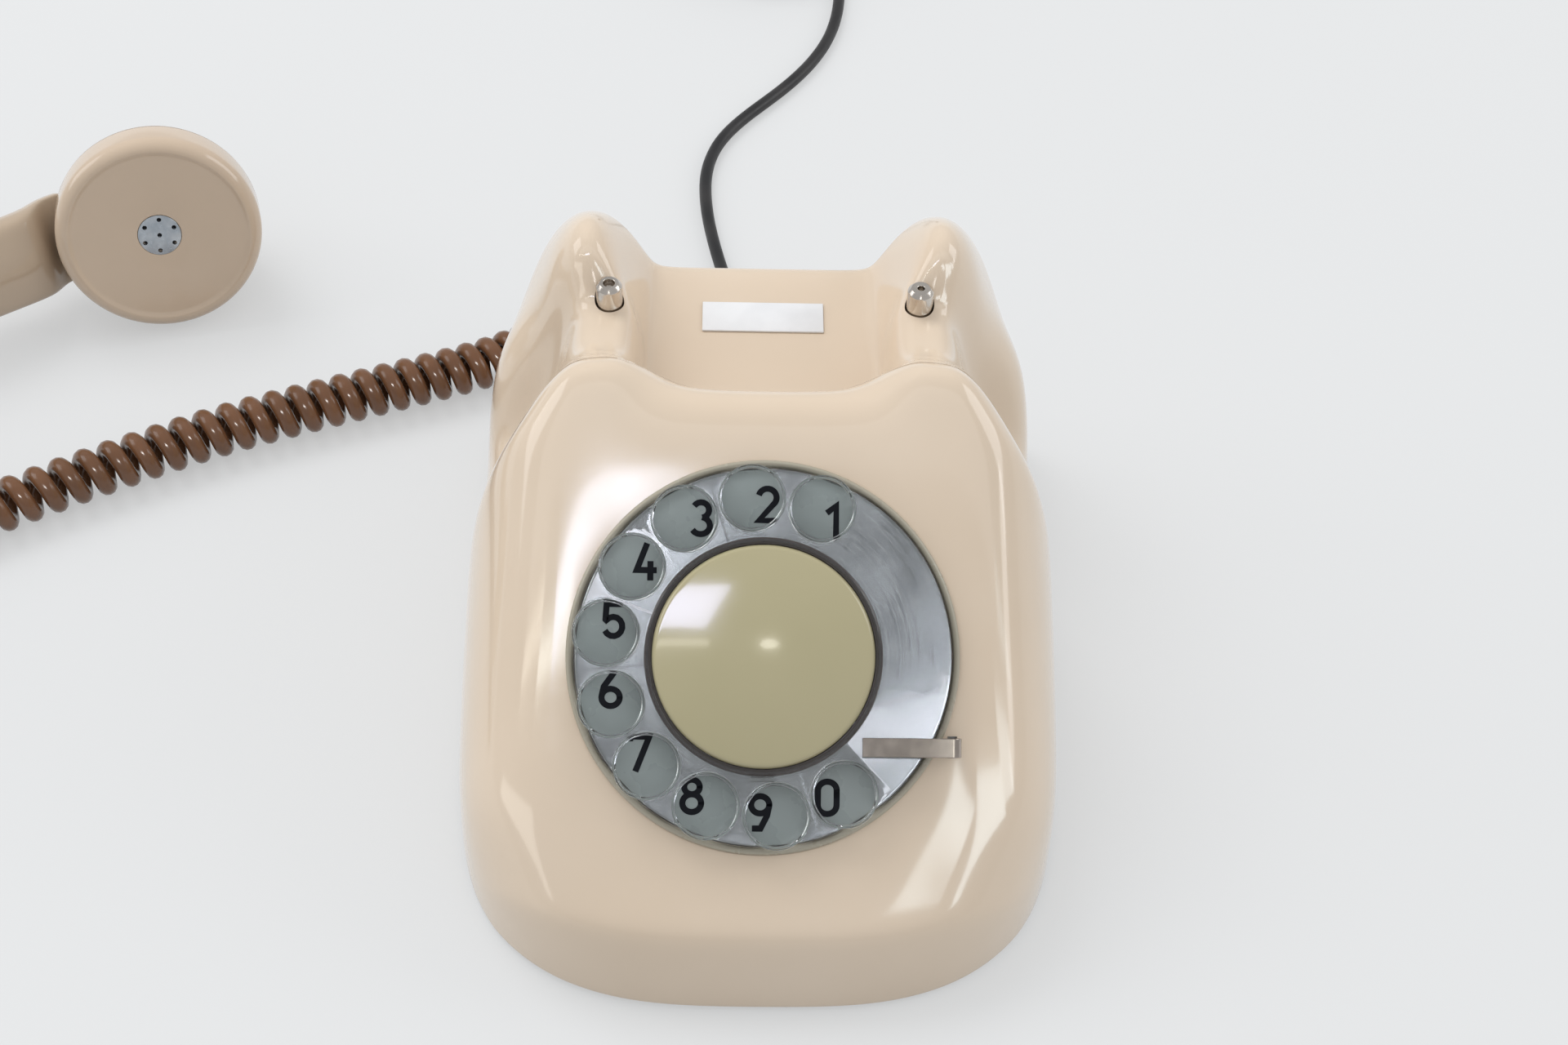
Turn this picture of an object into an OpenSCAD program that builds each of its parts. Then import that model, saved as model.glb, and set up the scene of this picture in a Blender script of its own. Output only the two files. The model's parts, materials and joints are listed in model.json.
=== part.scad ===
// Rotary desk telephone with a moulded two-part body, sprung cradle plungers,
// a clear finger wheel, a free handset on a curly cord and a line cord with its plug.
// Millimetres. The origin is on the desk, under the middle of the body. +X is to
// the user's right, +Y away from the user, +Z up.

/* [Body] */
// Width of the body at its widest
body_w = 137; // [135:1:140]
// Length of the body, front to back
body_l = 178; // [176:1:181]
// Height of the cradle horns above the desk
horn_h = 91; // [89:1:94]
// Thickness of the moulded covers
wall = 2.2; // [2:0.1:2.6]
// Height of the covers' lower edge above the desk
skirt_z = 1.6; // [1.2:0.1:2]

/* [Dial] */
// Tilt of the dial from level, in degrees
dial_tilt = 37; // [36:0.5:38]
// Radius of the circle through the finger holes
hole_circle_r = 33.4; // [33.3:0.1:33.6]
// Radius of a finger hole, inside its collar
finger_r = 6.4; // [6.2:0.1:6.5]
// Angle between neighbouring finger holes, in degrees
hole_pitch = 25.8; // [25.6:0.1:26]
// Angle of the first finger hole, in degrees
first_hole = 69; // [68:1:70]
// Radius of the centre cap
cap_r = 23.4; // [22.8:0.1:23.5]

/* [Cradle] */
// Distance of each plunger from the middle of the body
plunger_x = 35.3; // [34.8:0.1:35.8]
// Travel of the plungers
plunger_travel = 6; // [5:0.5:6]

/* [Handset] */
// Distance between the centres of the ear cap and the mouth cap
cap_span = 158; // [156:1:160]
// Radius of the ear cap and the mouth cap
handset_cap_r = 26.4; // [26:0.1:26.5]

/* [Cords] */
// Thickness of the curly handset cord
curly_d = 4.5; // [4.3:0.1:4.6]
// Diameter of a curl over its outside
curl_od = 13.4; // [13.2:0.1:13.6]
// Number of curls
curls = 50; // [49:1:51]
// Thickness of the line cord
line_d = 3.5; // [3.3:0.1:3.6]
// Windings of the stored line cord in each layer, without the climbs
layer_turns = 2.125; // [2.125]

/* [Hidden] */

beige = [0.83, 0.745, 0.65];
cream = [0.71, 0.68, 0.54];
olive = [0.60, 0.59, 0.49];
nickel = [0.72, 0.70, 0.66];
foil = [0.66, 0.67, 0.69];
clear_tint = [0.86, 0.88, 0.88, 0.45];
plate_grey = [0.66, 0.71, 0.70];
hub_brown = [0.20, 0.14, 0.15];
cord_brown = [0.34, 0.19, 0.10];
black = [0.08, 0.08, 0.08];
steel = [0.60, 0.61, 0.62];
brass = [0.76, 0.62, 0.33];
bronze = [0.62, 0.47, 0.27];
copper = [0.66, 0.36, 0.20];
board_brown = [0.45, 0.30, 0.16];

// ---------------------------------------------------------------- body outline
half_w = body_w / 2;
half_l = body_l / 2;
sx = body_w / 137;
sy = body_l / 178;
// The covers below this height stay as they are when the horns grow
deck_z = 61.5;
function tall(s) = [for (q = s)
    [q[0], q[1] > deck_z ? deck_z + (q[1] - deck_z) * (horn_h - deck_z) / (91 - deck_z) : q[1]]];

dial_y = -38;
dial_z = 58;
// Height of the sloping dial face at a distance y from the middle
function face_z(y) = dial_z + (y - dial_y) * tan(dial_tilt);

// Superellipse distance from the centre line at x, for a corner of depth l
function bow(x, w, l, n) = l * pow(max(0, 1 - pow(abs(x) / w, n)), 1 / n);
front_y = -15;
back_y = 60;
back_w = half_w - 3;
corner = 3.05;
function front_edge(x) = front_y - bow(x, half_w, half_l + front_y + 0.5, corner);
function back_edge(x) = back_y + bow(x, back_w, half_l - back_y, 3);
function side_edge(y) = half_w
    * pow(1 - pow(max(0, front_y - y) / (half_l + front_y + 0.5), corner), 1 / corner);

// The parting line between the two covers, as a section across the body:
// [x, z] of the control points from the middle to the foot of the side
seam_y = 16;
seam_gap = 0.25;
seam = [[0, 81.7], [11, 81.9], [19, 83.6], [25.5, 88.6], [31.5, 92.4], [37, 92],
    [43, 90.8], [49.5, 80], [57, 63], [64.5, 44], [68.3, 20], [68.3, skirt_z]];
// The section across the handset trough, across the horns and behind the horns
trough = [[0, 61.5], [13, 61.5], [25, 61.5], [28, 61.3], [29.6, 79.3], [36, 77.8],
    [43.2, 79.3], [47.2, 58], [52, 41], [60, 32], [66.6, 27], [68, skirt_z]];
horns = tall([[0, 61.5], [13, 61.5], [24, 61.5], [27.5, 63], [33.5, 81.2], [38.2, 91.2],
    [44.2, 89.6], [49.6, 80], [54.2, 61.5], [64.6, 48], [67.4, 20], [67.8, skirt_z]]);
behind = tall([[0, 61.5], [13, 61.5], [24, 61.5], [27, 63], [31, 72], [37, 79.4],
    [44, 80], [51.5, 71], [57.5, 53.5], [62.5, 36], [66, 16], [66.5, skirt_z]]);

// ---------------------------------------------------------------- front cover net
// Rows of the front cover from its front foot, over the apron and the dial face
// to the parting line: [centre y, side y, height at the centre]
front_rows = [[-89, -70, skirt_z], [-88.3, -68.6, 9], [-86.9, -66.6, 17.5],
    [-85.2, -64, 22.8], [-81, -60, 25.8], [-64, -52, 38.4],
    [-40, -37, 56.5], [-20, -20, 71.6], [-5, -4, 82.9], [4, 4, 89.3],
    [11.5, 11, 90.5]];
across = [0, 0.16, 0.28, 0.375, 0.46, 0.55, 0.66, 0.77, 0.875, 0.955, 0.99, 1];
shoulder = [1, 1, 1, 1, 1, 1, 0.99, 0.935, 0.80, 0.56, 0.25, 0];
last_col = len(across) - 1;

function front_point(row, c) = let (
        xe = side_edge(row[1]), x = across[c] * xe,
        lift = (row[0] + half_l) * (1 - pow(across[c], 3)),
        y = front_edge(x) + lift,
        top = row[0] < -80 ? row[2] : min(face_z(y), row[2] + 4))
    [x * sx, y * sy, skirt_z + (top - skirt_z) * shoulder[c]];
function seam_point(c, y) = [seam[c][0] * sx, y, seam[c][1]];
function crown_point(c) = let (f = front_point(front_rows[10], c), s = seam_point(c, seam_y))
    [(f[0] + s[0]) / 2, 11.5, max(s[2] * 0.5 + f[2] * 0.5, s[2] + (c < 8 ? 2.5 : 0))];
function flat_point(row, c) = let (xe = side_edge(row[1]))
    [across[c] * xe * sx, row[0],
     skirt_z + (min(face_z(row[0]), row[2]) - skirt_z) * shoulder[c]];
front_net = concat(
    [for (i = [0:6]) [for (c = [0:last_col]) front_point(front_rows[i], c)]],
    [for (i = [7:9]) [for (c = [0:last_col]) flat_point(front_rows[i], c)]],
    [[for (c = [0:last_col]) crown_point(c)]],
    [[for (c = [0:last_col]) seam_point(c, seam_y)]]);

// ---------------------------------------------------------------- rear cover net
function mix(a, b, t) = a + (b - a) * t;
function section(a, b, t, y) = [for (c = [0:last_col])
    [mix(a[c][0], b[c][0], t) * sx, y, mix(a[c][1], b[c][1], t)]];
// Rows up to the horns: [y, section before, section after, share of the second]
rear_y = seam_y + seam_gap;
rear_top = [
    section(seam, seam, 0, rear_y),
    section(seam, trough, 0.20, 20),
    section(seam, trough, 0.72, 26),
    section(trough, trough, 0, 33),
    section(trough, horns, 0.02, 41),
    section(trough, horns, -0.08, 47.5),
    section(trough, horns, 0.82, 53.5),
    section(horns, horns, 0, 61.5),
    section(horns, behind, 0.45, 70),
    section(behind, behind, 0, 77)];
// The back wall: [y, share of the height that is left, share of the narrowing]
back_rows = [[81, 0.955, 0.1], [85.6, 0.55, 0.5], [88, 0.22, 0.85], [89, 0, 1]];
function back_point(row, c) = let (
        x = behind[c][0] * (1 - 0.1 * row[2]),
        droop = half_l - back_edge(x),
        z = skirt_z + (behind[c][1] - skirt_z) * row[1])
    [x * sx, (row[0] - droop * row[2]) * sy, c < last_col
        ? mix(skirt_z, z, min(1, row[1] * 9)) : skirt_z];
rear_net = concat(rear_top,
    [for (row = back_rows) [for (c = [0:last_col]) back_point(row, c)]]);

// ---------------------------------------------------------------- smooth surfaces
function both_sides(half) = concat(
    [for (c = [len(half) - 1:-1:1]) [-half[c][0], half[c][1], half[c][2]]], half);
function blend4(a, b, c, d, t) = (pow(1 - t, 3) * a + (3 * pow(t, 3) - 6 * t * t + 4) * b
    + (-3 * pow(t, 3) + 3 * t * t + 3 * t + 1) * c + pow(t, 3) * d) / 6;
function with_ends(p) = concat([2 * p[0] - p[1]], p, [2 * p[len(p) - 1] - p[len(p) - 2]]);
// A smooth curve near the points p, with m steps between neighbours
function curve(p, m) = let (e = with_ends(p), n = len(p))
    concat([for (i = [0:n - 2]) for (k = [0:m - 1])
        blend4(e[i], e[i + 1], e[i + 2], e[i + 3], k / m)], [p[n - 1]]);
function turned(g) = [for (c = [0:len(g[0]) - 1]) [for (r = [0:len(g) - 1]) g[r][c]]];
function surface_of(net, m) = turned([for (col = turned([for (row = net)
    curve(both_sides(row), m)])) curve(col, m)]);
function unit(v) = v / norm(v);
function normal_at(g, r, c) = let (
        r0 = max(0, r - 1), r1 = min(len(g) - 1, r + 1),
        c0 = max(0, c - 1), c1 = min(len(g[0]) - 1, c + 1))
    unit(cross(g[r][c1] - g[r][c0], g[r1][c] - g[r0][c]));
// The normal kept in the plane of the rim that a point lies on
function rim_normal(g, r, c, seam_row) = let (
        n = normal_at(g, r, c),
        foot = c == 0 || c == len(g[0]) - 1 || r == len(g) - 1 - seam_row,
        at_seam = r == seam_row)
    unit([n[0], at_seam ? 0 : n[1], foot ? 0 : n[2]]);
function inside_of(g, t, seam_row) = [for (r = [0:len(g) - 1]) [for (c = [0:len(g[0]) - 1])
    g[r][c] - t * rim_normal(g, r, c, seam_row)]];
function flatten(g) = [for (row = g) each row];
// Two triangles for the patch at a, with neighbours one step and one row on
function patch(a, step, row, flip) = flip
    ? [[a, a + step, a + row], [a + step, a + row + step, a + row]]
    : [[a, a + row, a + step], [a + step, a + row, a + row + step]];
// A shell between the surface g and its inside, closed round the rim
module shell(g, t, seam_row) {
    rows = len(g);
    cols = len(g[0]);
    inner = rows * cols;
    last = (rows - 1) * cols;
    points = concat(flatten(g), flatten(inside_of(g, t, seam_row)));
    faces = concat(
        [for (r = [0:rows - 2]) for (c = [0:cols - 2]) each patch(r * cols + c, 1, cols, false)],
        [for (r = [0:rows - 2]) for (c = [0:cols - 2])
            each patch(inner + r * cols + c, 1, cols, true)],
        [for (c = [0:cols - 2]) each patch(c, 1, inner, true)],
        [for (c = [0:cols - 2]) each patch(last + c, 1, inner, false)],
        [for (r = [0:rows - 2]) each patch(r * cols, cols, inner, false)],
        [for (r = [0:rows - 2]) each patch(r * cols + cols - 1, cols, inner, true)]);
    polyhedron(points = points, faces = faces, convexity = 8);
}
front_skin = surface_of(front_net, 2);
rear_skin = surface_of(rear_net, 2);

// Puts children in the dial's own frame: z out of the face, y up the slope
module on_dial() {
    translate([0, dial_y, dial_z]) rotate([dial_tilt, 0, 0]) children();
}
module ring(r_out, r_in, z0, z1) {
    translate([0, 0, z0]) difference() {
        cylinder(r = r_out, h = z1 - z0, $fn = 96);
        translate([0, 0, -1]) cylinder(r = r_in, h = z1 - z0 + 2, $fn = 96);
    }
}
module disc(r, z0, z1) {
    translate([0, 0, z0]) cylinder(r = r, h = z1 - z0, $fn = 96);
}

// ---------------------------------------------------------------- covers and base
ring_r = 41.6;
opening_r = 40;
stop_y = -18.6;
stop_w = 4;
stop_leg_x = 39.95;
plunger_y = 47.4;
plunger_r = 3;
bush_r = 3.9;
bush_top = 74.9;
bush_foot = 58.2;
relief_z = 9;
handset_exit_x = -38;
line_exit_x = -1;
handset_root_r = 4.2;
line_root_r = 3.7;
back_rib = 10;

boss_r = 3.5;
pilot_r = 1.5;
module boss(x, y, top) {
    translate([x, y, floor_z]) cylinder(r = boss_r, h = top - floor_z, $fn = 32);
}
module pilots(places) {
    for (p = places) translate([p[0], p[1], base_z]) cylinder(r = pilot_r, h = 10, $fn = 32);
}
module front_cover() {
    color(beige) difference() {
        union() {
            shell(front_skin, wall, len(front_skin) - 1);
            difference() {
                for (p = front_screws) boss(p[0], p[1], 42);
                on_dial() translate([-50, -60, -1.1]) cube([100, 60, 20]);
            }
        }
        pilots(front_screws);
        on_dial() disc(opening_r, -8, 8);
        on_dial() disc(ring_r + 0.1, 0, 8);
        on_dial() translate([stop_leg_x - 0.8, stop_y - stop_w / 2 - 0.3, -6])
            cube([2, stop_w + 0.6, 12]);
    }
}
module rear_cover() {
    color(beige) difference() {
        union() {
            shell(rear_skin, wall, 0);
            for (p = rear_screws) {
                boss(p[0], p[1], 20);
                translate([p[0] - 1, p[1], floor_z]) cube([2, back_rib, 14]);
            }
        }
        pilots(rear_screws);
        for (side = [-1, 1]) translate([side * plunger_x, plunger_y, 0]) {
            translate([0, 0, 57]) cylinder(r = bush_r + 0.05, h = bush_top - 57 + 0.1, $fn = 48);
            translate([0, 0, 57]) cylinder(r = plunger_r + 0.35, h = 40, $fn = 48);
        }
        translate([handset_exit_x, 80, relief_z]) rotate([-90, 0, 0])
            cylinder(r = handset_root_r + 0.05, h = 30, $fn = 48);
        translate([line_exit_x, 80, relief_z]) rotate([-90, 0, 0])
            cylinder(r = line_root_r + 0.05, h = 30, $fn = 48);
    }
}
base_z = 2.4;
base_t = 2;
floor_z = base_z + base_t;
foot_x = 46;
foot_front_y = -52;
foot_back_y = 62;
function foot_places() = [for (x = [-foot_x, foot_x]) for (y = [foot_front_y, foot_back_y]) [x, y]];
// Outline of the base plate, just inside the covers
function base_side(t) = t < 0.5 ? side_edge(mix(-70, seam_y, t * 2)) : 0;
base_inset = wall + 2.4;
function base_front(n) = [for (i = [-n:n]) let (x = i / n * 52) [x, front_edge(x) + base_inset]];
function base_back(n) = [for (i = [n:-1:-n]) let (x = i / n * 53)
    [x, back_edge(x / 0.955) - base_inset - 0.4]];
function base_right() = [for (y = [-58, -46, -30, -12, 16, 40, 60])
    [(side_edge(y) - base_inset) * (y > 20 ? 0.95 : y > 0 ? 0.97 : 1), y]];
function flipped(p) = [for (i = [len(p) - 1:-1:0]) [-p[i][0], p[i][1]]];
module base_outline() {
    polygon(concat(base_front(8), base_right(), base_back(8), flipped(base_right())));
}
module base_plate() {
    color(steel) difference() {
        translate([0, 0, base_z]) linear_extrude(base_t) base_outline();
        for (p = foot_places()) translate([p[0], p[1], 0]) cylinder(r = 2.6, h = 10, $fn = 32);
        for (p = screw_places) translate([p[0], p[1], 0]) cylinder(r = 1.7, h = 10, $fn = 32);
        for (x = [handset_exit_x, line_exit_x]) translate([x - 7, 75, 0]) cube([14, 20, 10]);
    }
}
module rubber_feet() {
    color(black) for (p = foot_places()) translate([p[0], p[1], 0]) {
        cylinder(r = 7, h = base_z, $fn = 48);
        cylinder(r = 2.5, h = base_z + base_t + 0.5, $fn = 32);
        translate([0, 0, base_z + base_t]) cylinder(r = 4, h = 1.6, $fn = 32);
    }
}
front_screws = [[-30, -66], [30, -66]];
rear_screws = [[-14, 76], [14, 76]];
screw_places = concat(front_screws, rear_screws);
module base_screws() {
    color(steel) for (p = screw_places) translate([p[0], p[1], 0]) {
        translate([0, 0, base_z - 1.6]) cylinder(r = 3, h = 1.6, $fn = 32);
        translate([0, 0, base_z - 0.5]) cylinder(r = pilot_r, h = 9, $fn = 32);
    }
}
module label_plate() {
    label_w = 28.6;
    label_d = 9.6;
    label_y = 60;
    color("white") translate([-label_w / 2, label_y - label_d / 2, deck_z + 0.06]) cube([label_w, label_d, 0.5]);
}

// ---------------------------------------------------------------- dial
module dial_ring() {
    color(olive) on_dial() {
        ring(ring_r, opening_r - 0.6, 0, 1.5);
        ring(opening_r - 0.2, opening_r - 1.3, frame_z + frame_t, 0.5);
    }
}
module number_plate() {
    color(plate_grey) on_dial() {
        ring(38.4, 8, -1.2, -0.2);
        ring(38.4, 37.4, frame_z + frame_t, -0.8);
    }
}
frame_z = -4.4;
frame_t = 1.4;
back_plate_z = -22;
pillar_r = 2.2;
pillar_places = [[-21, -16], [21, -16], [0, 27]];
spindle_r = 3;
idler_at = [-17, 17.1];
module dial_frame() {
    color(steel) on_dial() {
        difference() {
            union() {
                disc(43, frame_z, frame_z + frame_t);
                translate([30, stop_y - 4, frame_z]) cube([14, 8, frame_t]);
                for (y = bearing_places) translate([governor_at[0] - 1.5, y, governor_at[2] - 2])
                    cube([3, 1.6, frame_z - governor_at[2] + 2.4]);
            }
            translate([governor_at[0], 40, governor_at[2]]) rotate([90, 0, 0])
                cylinder(r = 0.86, h = 60, $fn = 24);
            disc(spindle_r + 0.06, frame_z - 1, 0);
            translate([idler_at[0], idler_at[1], 0]) disc(1.26, frame_z - 1, 0);
        }
        difference() {
            disc(31, back_plate_z, back_plate_z + frame_t);
            disc(spindle_r + 0.06, back_plate_z - 1, 0);
            translate([idler_at[0], idler_at[1], 0]) disc(1.26, back_plate_z - 1, 0);
        }
    }
}
module dial_pillars() {
    color(brass) on_dial() for (p = pillar_places) translate([p[0], p[1], 0])
        disc(pillar_r, back_plate_z + frame_t, frame_z);
}
module finger_stop() {
    tip_x = 20.7;
    top = 7.2;
    t = 0.8;
    color(nickel) on_dial() translate([0, stop_y - stop_w / 2, 0]) {
        translate([tip_x, 0, top - t]) cube([stop_leg_x + t - tip_x, stop_w, t]);
        translate([stop_leg_x, 0, frame_z + frame_t]) cube([t, stop_w, top - frame_z - frame_t]);
    }
}
module pulse_contacts() {
    color(bronze) on_dial() {
        for (i = [0:2]) translate([9.5 + i * 2, -24, -16.6]) cube([0.4, 16, 3]);
        translate([8, -27, back_plate_z + frame_t]) cube([8, 4, -12 - back_plate_z - frame_t]);
    }
}
wheel_z = 2.5;
wheel_t = 1.7;
collar_r = finger_r + 0.7;
wheel_r = 39.5;
function hole_angle(i) = first_hole + i * hole_pitch;
module at_holes() {
    for (i = [0:9]) rotate(hole_angle(i)) translate([hole_circle_r, 0, 0]) children();
}
module finger_wheel() {
    color(clear_tint) on_dial() difference() {
        union() {
            disc(wheel_r, wheel_z, wheel_z + wheel_t);
            at_holes() disc(collar_r, wheel_z - 0.4, wheel_z + wheel_t + 1.1);
        }
        at_holes() disc(finger_r, 0, 9);
        disc(11, 0, 9);
    }
}
module wheel_backing() {
    color(foil) on_dial() difference() {
        ring(wheel_r - 0.4, 11, wheel_z - 0.35, wheel_z);
        at_holes() disc(collar_r + 0.1, 0, 9);
    }
}
module hub_ring() {
    color(hub_brown) on_dial() {
        ring(cap_r + 1.7, cap_r + 0.1, wheel_z + wheel_t, wheel_z + wheel_t + 1.6);
        disc(10.9, wheel_z, wheel_z + wheel_t);
    }
}
module centre_cap() {
    base = wheel_z + wheel_t;
    rise = 4.2;
    lip = 1.8;
    dome_r = (cap_r * cap_r + rise * rise) / (2 * rise);
    color(cream) on_dial() translate([0, 0, base]) rotate_extrude($fn = 96)
        polygon(concat([[0, 0], [cap_r, 0], [cap_r, lip - 0.5]],
            [for (i = [0:12]) let (a = asin(cap_r * 0.985 / dome_r) * (1 - i / 12))
                [dome_r * sin(a), lip + rise - dome_r * (1 - cos(a))]]));
}
module cap_latch() {
    latch_w = 5.2;
    color(clear_tint) on_dial() difference() {
        translate([-latch_w / 2, -cap_r - 2.7, wheel_z + wheel_t]) cube([latch_w, 1.3, 1.9]);
        disc(cap_r + 1.7, wheel_z, 9);
    }
}
module dial_spindle() {
    color(steel) on_dial() {
        disc(spindle_r, back_plate_z - 1.5, wheel_z);
        disc(5, frame_z + frame_t + 0.3, wheel_z - 0.4);
    }
}
main_teeth = 64;
pinion_teeth = 16;
gear_module = 0.6;
function pitch_r(teeth) = teeth * gear_module / 2;
// A gear with straight-sided teeth and a generous gap
module gear(teeth, h) {
    r = pitch_r(teeth);
    step = 360 / teeth;
    linear_extrude(h) polygon([for (i = [0:teeth - 1]) each [
        (r - 0.62) * [cos(i * step - step * 0.30), sin(i * step - step * 0.30)],
        (r + 0.42) * [cos(i * step - step * 0.10), sin(i * step - step * 0.10)],
        (r + 0.42) * [cos(i * step + step * 0.10), sin(i * step + step * 0.10)],
        (r - 0.62) * [cos(i * step + step * 0.30), sin(i * step + step * 0.30)]]]);
}
idler_angle = atan2(idler_at[1], idler_at[0]);
main_gear_z = -9;
module main_gear() {
    color(brass) on_dial() difference() {
        translate([0, 0, main_gear_z]) rotate(idler_angle) gear(main_teeth, 1.6);
        disc(spindle_r, main_gear_z - 1, 0);
        for (a = [0:120:240]) rotate(a + 20) translate([10.5, 0, 0]) disc(3.6, main_gear_z - 1, 0);
    }
}
module pulse_cam() {
    color(bronze) on_dial() difference() {
        translate([0, 0, -16.5]) linear_extrude(2.5) polygon([
            for (i = [0:9]) each [for (q = [[-6, 5.8], [-3, 7], [3, 7], [6, 5.8]])
                q[1] * [cos(i * 24 + 60 + q[0]), sin(i * 24 + 60 + q[0])]],
            for (a = [300:12:408]) 5.8 * [cos(a + 4), sin(a + 4)]]);
        disc(spindle_r, -18, 0);
    }
}
worm_wheel_z = -15.5;
worm_wheel_r = 6.5;
module worm_wheel() {
    color(brass) on_dial() translate([idler_at[0], idler_at[1], 0]) {
        disc(1.2, back_plate_z - 0.6, frame_z + frame_t + 0.2);
        translate([0, 0, main_gear_z - 0.3]) rotate(idler_angle + 180 + 180 / pinion_teeth)
            gear(pinion_teeth, 2.2);
        translate([0, 0, worm_wheel_z]) gear(22, 2);
    }
}
worm_r = 2.2;
governor_at = [idler_at[0] - worm_wheel_r - worm_r - 0.9, idler_at[1], worm_wheel_z + 1];
// Where the governor's shaft runs in the two bearing tabs of the frame
bearing_places = [governor_at[1] + 6, governor_at[1] - 22.6];
// A worm on a cross shaft with the governor's drag weights at its end
module governor() {
    color(brass) on_dial() translate(governor_at) rotate([90, 0, 0]) {
        translate([0, 0, -5]) cylinder(r = worm_r, h = 10, $fn = 32);
        translate([0, 0, -8]) cylinder(r = 0.8, h = 31, $fn = 32);
        translate([0, 0, 14]) cylinder(r = 2, h = 6, $fn = 32);
        for (side = [-1, 1]) translate([side * 3.1, 0, 15.5]) rotate([0, 90, 0])
            cylinder(r = 1.5, h = 2.4, center = true, $fn = 32);
    }
}

// ---------------------------------------------------------------- cradle switch
plunger_top = 84.3;
plunger_foot = 55.4;
module plunger(side) {
    color(nickel) translate([side * plunger_x, plunger_y, 0]) difference() {
        union() {
            translate([0, 0, plunger_foot]) cylinder(r = plunger_r, h = plunger_top - plunger_foot - 1.1, $fn = 48);
            translate([0, 0, plunger_top - 1.1]) cylinder(r1 = plunger_r, r2 = plunger_r - 0.9, h = 1.1, $fn = 48);
            translate([0, 0, plunger_foot]) cylinder(r = 4.4, h = 2.2, $fn = 48);
        }
        translate([0, 0, plunger_top - 0.7]) cylinder(r = side < 0 ? 1.3 : 0.8, h = 2, $fn = 32);
    }
}
module plunger_left() { plunger(-1); }
module plunger_right() { plunger(1); }
module plunger_guides() {
    color(black) for (side = [-1, 1]) translate([side * plunger_x, plunger_y, 0]) {
        ring(bush_r, plunger_r + 0.06, bush_foot, bush_top);
        ring(bush_r + 1.6, plunger_r + 0.06, bush_foot, bush_foot + 1.6);
    }
}
bail_y = 71;
bail_z = 50;
bail_shaft_r = 1.5;
module hook_bracket() {
    color(steel) difference() {
        union() {
            for (side = [-1, 1]) {
                translate([side * 24 - 0.75, bail_y - 4, floor_z]) cube([1.5, 9, bail_z - base_z + 3]);
                translate([side * 24 - (side > 0 ? 0 : 8), bail_y - 4, floor_z]) cube([8, 9, 1.2]);
            }
            translate([-24, bail_y + 3.8, 34]) cube([48, 1.2, 10]);
        }
        translate([-40, bail_y, bail_z]) rotate([0, 90, 0]) cylinder(r = bail_shaft_r + 0.06, h = 80, $fn = 32);
    }
}
module hook_bail() {
    arm_l = bail_y - plunger_y + 3;
    color(nickel) {
        translate([-38, bail_y, bail_z]) rotate([0, 90, 0]) cylinder(r = bail_shaft_r, h = 76, $fn = 32);
        for (side = [-1, 1]) translate([side * (plunger_x + 0.7) - 2, bail_y - arm_l, bail_z - 1])
            cube([4, arm_l, 2]);
        for (side = [-1, 1]) translate([side * (plunger_x + 0.7) - 2, plunger_y - 2, bail_z + 1])
            cube([4, 4, plunger_foot - bail_z - 1.3]);
        translate([-4, bail_y - 16, bail_z - 1]) cube([8, 16, 2]);
    }
}
module hook_contacts() {
    color(bronze) {
        for (i = [0:2]) translate([-5, 55, 37 + i * 2.4]) cube([10, 14, 0.4]);
        translate([-6, 68, 36]) cube([12, bail_y + 3.8 - 68, 7]);
    }
}

// ---------------------------------------------------------------- ringer
gong_r = 19;
gong_x = 25.5;
gong_y = 46.5;
clapper_y = 22;
module ringer_yoke() {
    color(steel) {
        translate([-22, clapper_y - 9, floor_z]) cube([44, 13, 1.5]);
        for (x = [-22, 20.5]) translate([x, clapper_y - 9, floor_z]) cube([1.5, 13, 15]);
        translate([0, clapper_y, floor_z]) cylinder(r = 1.4, h = 17, $fn = 32);
    }
}
module ringer_coils() {
    color(copper) for (side = [-1, 1])
        translate([side * 13.1 - 7.4, clapper_y - 1, floor_z + 8]) rotate([0, 90, 0])
            cylinder(r = 6, h = 14.8, $fn = 48);
}
module clapper() {
    color(brass) {
        translate([0, clapper_y, 0]) difference() {
            union() {
                disc(2.6, 14, 19);
                translate([-4.6, -1.5, 14]) cube([9.2, 3, 5]);
            }
            disc(1.47, 13, 20);
        }
        translate([-0.8, clapper_y + 2.2, 15.5]) cube([1.6, 25, 2]);
        translate([0, clapper_y + 29.8, 13]) cylinder(r = 3.2, h = 7, $fn = 48);
    }
}
module gong_posts() {
    color(steel) for (side = [-1, 1]) translate([side * gong_x, gong_y, floor_z]) {
        cylinder(r = 3.5, h = 14, $fn = 32);
        cylinder(r = 1.8, h = 20, $fn = 32);
    }
}
module gong(side) {
    color(nickel) translate([side * gong_x, gong_y, 9]) rotate_extrude($fn = 96)
        polygon([[1.85, 9.4], [3.6, 9.4], [8, 9.2], [14, 7.6], [17.4, 4], [18.3, 0], [gong_r, 0],
            [gong_r, 4.6], [15, 9], [8.5, 10.8], [1.85, 11]]);
}
module gong_left() { gong(-1); }
module gong_right() { gong(1); }

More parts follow.
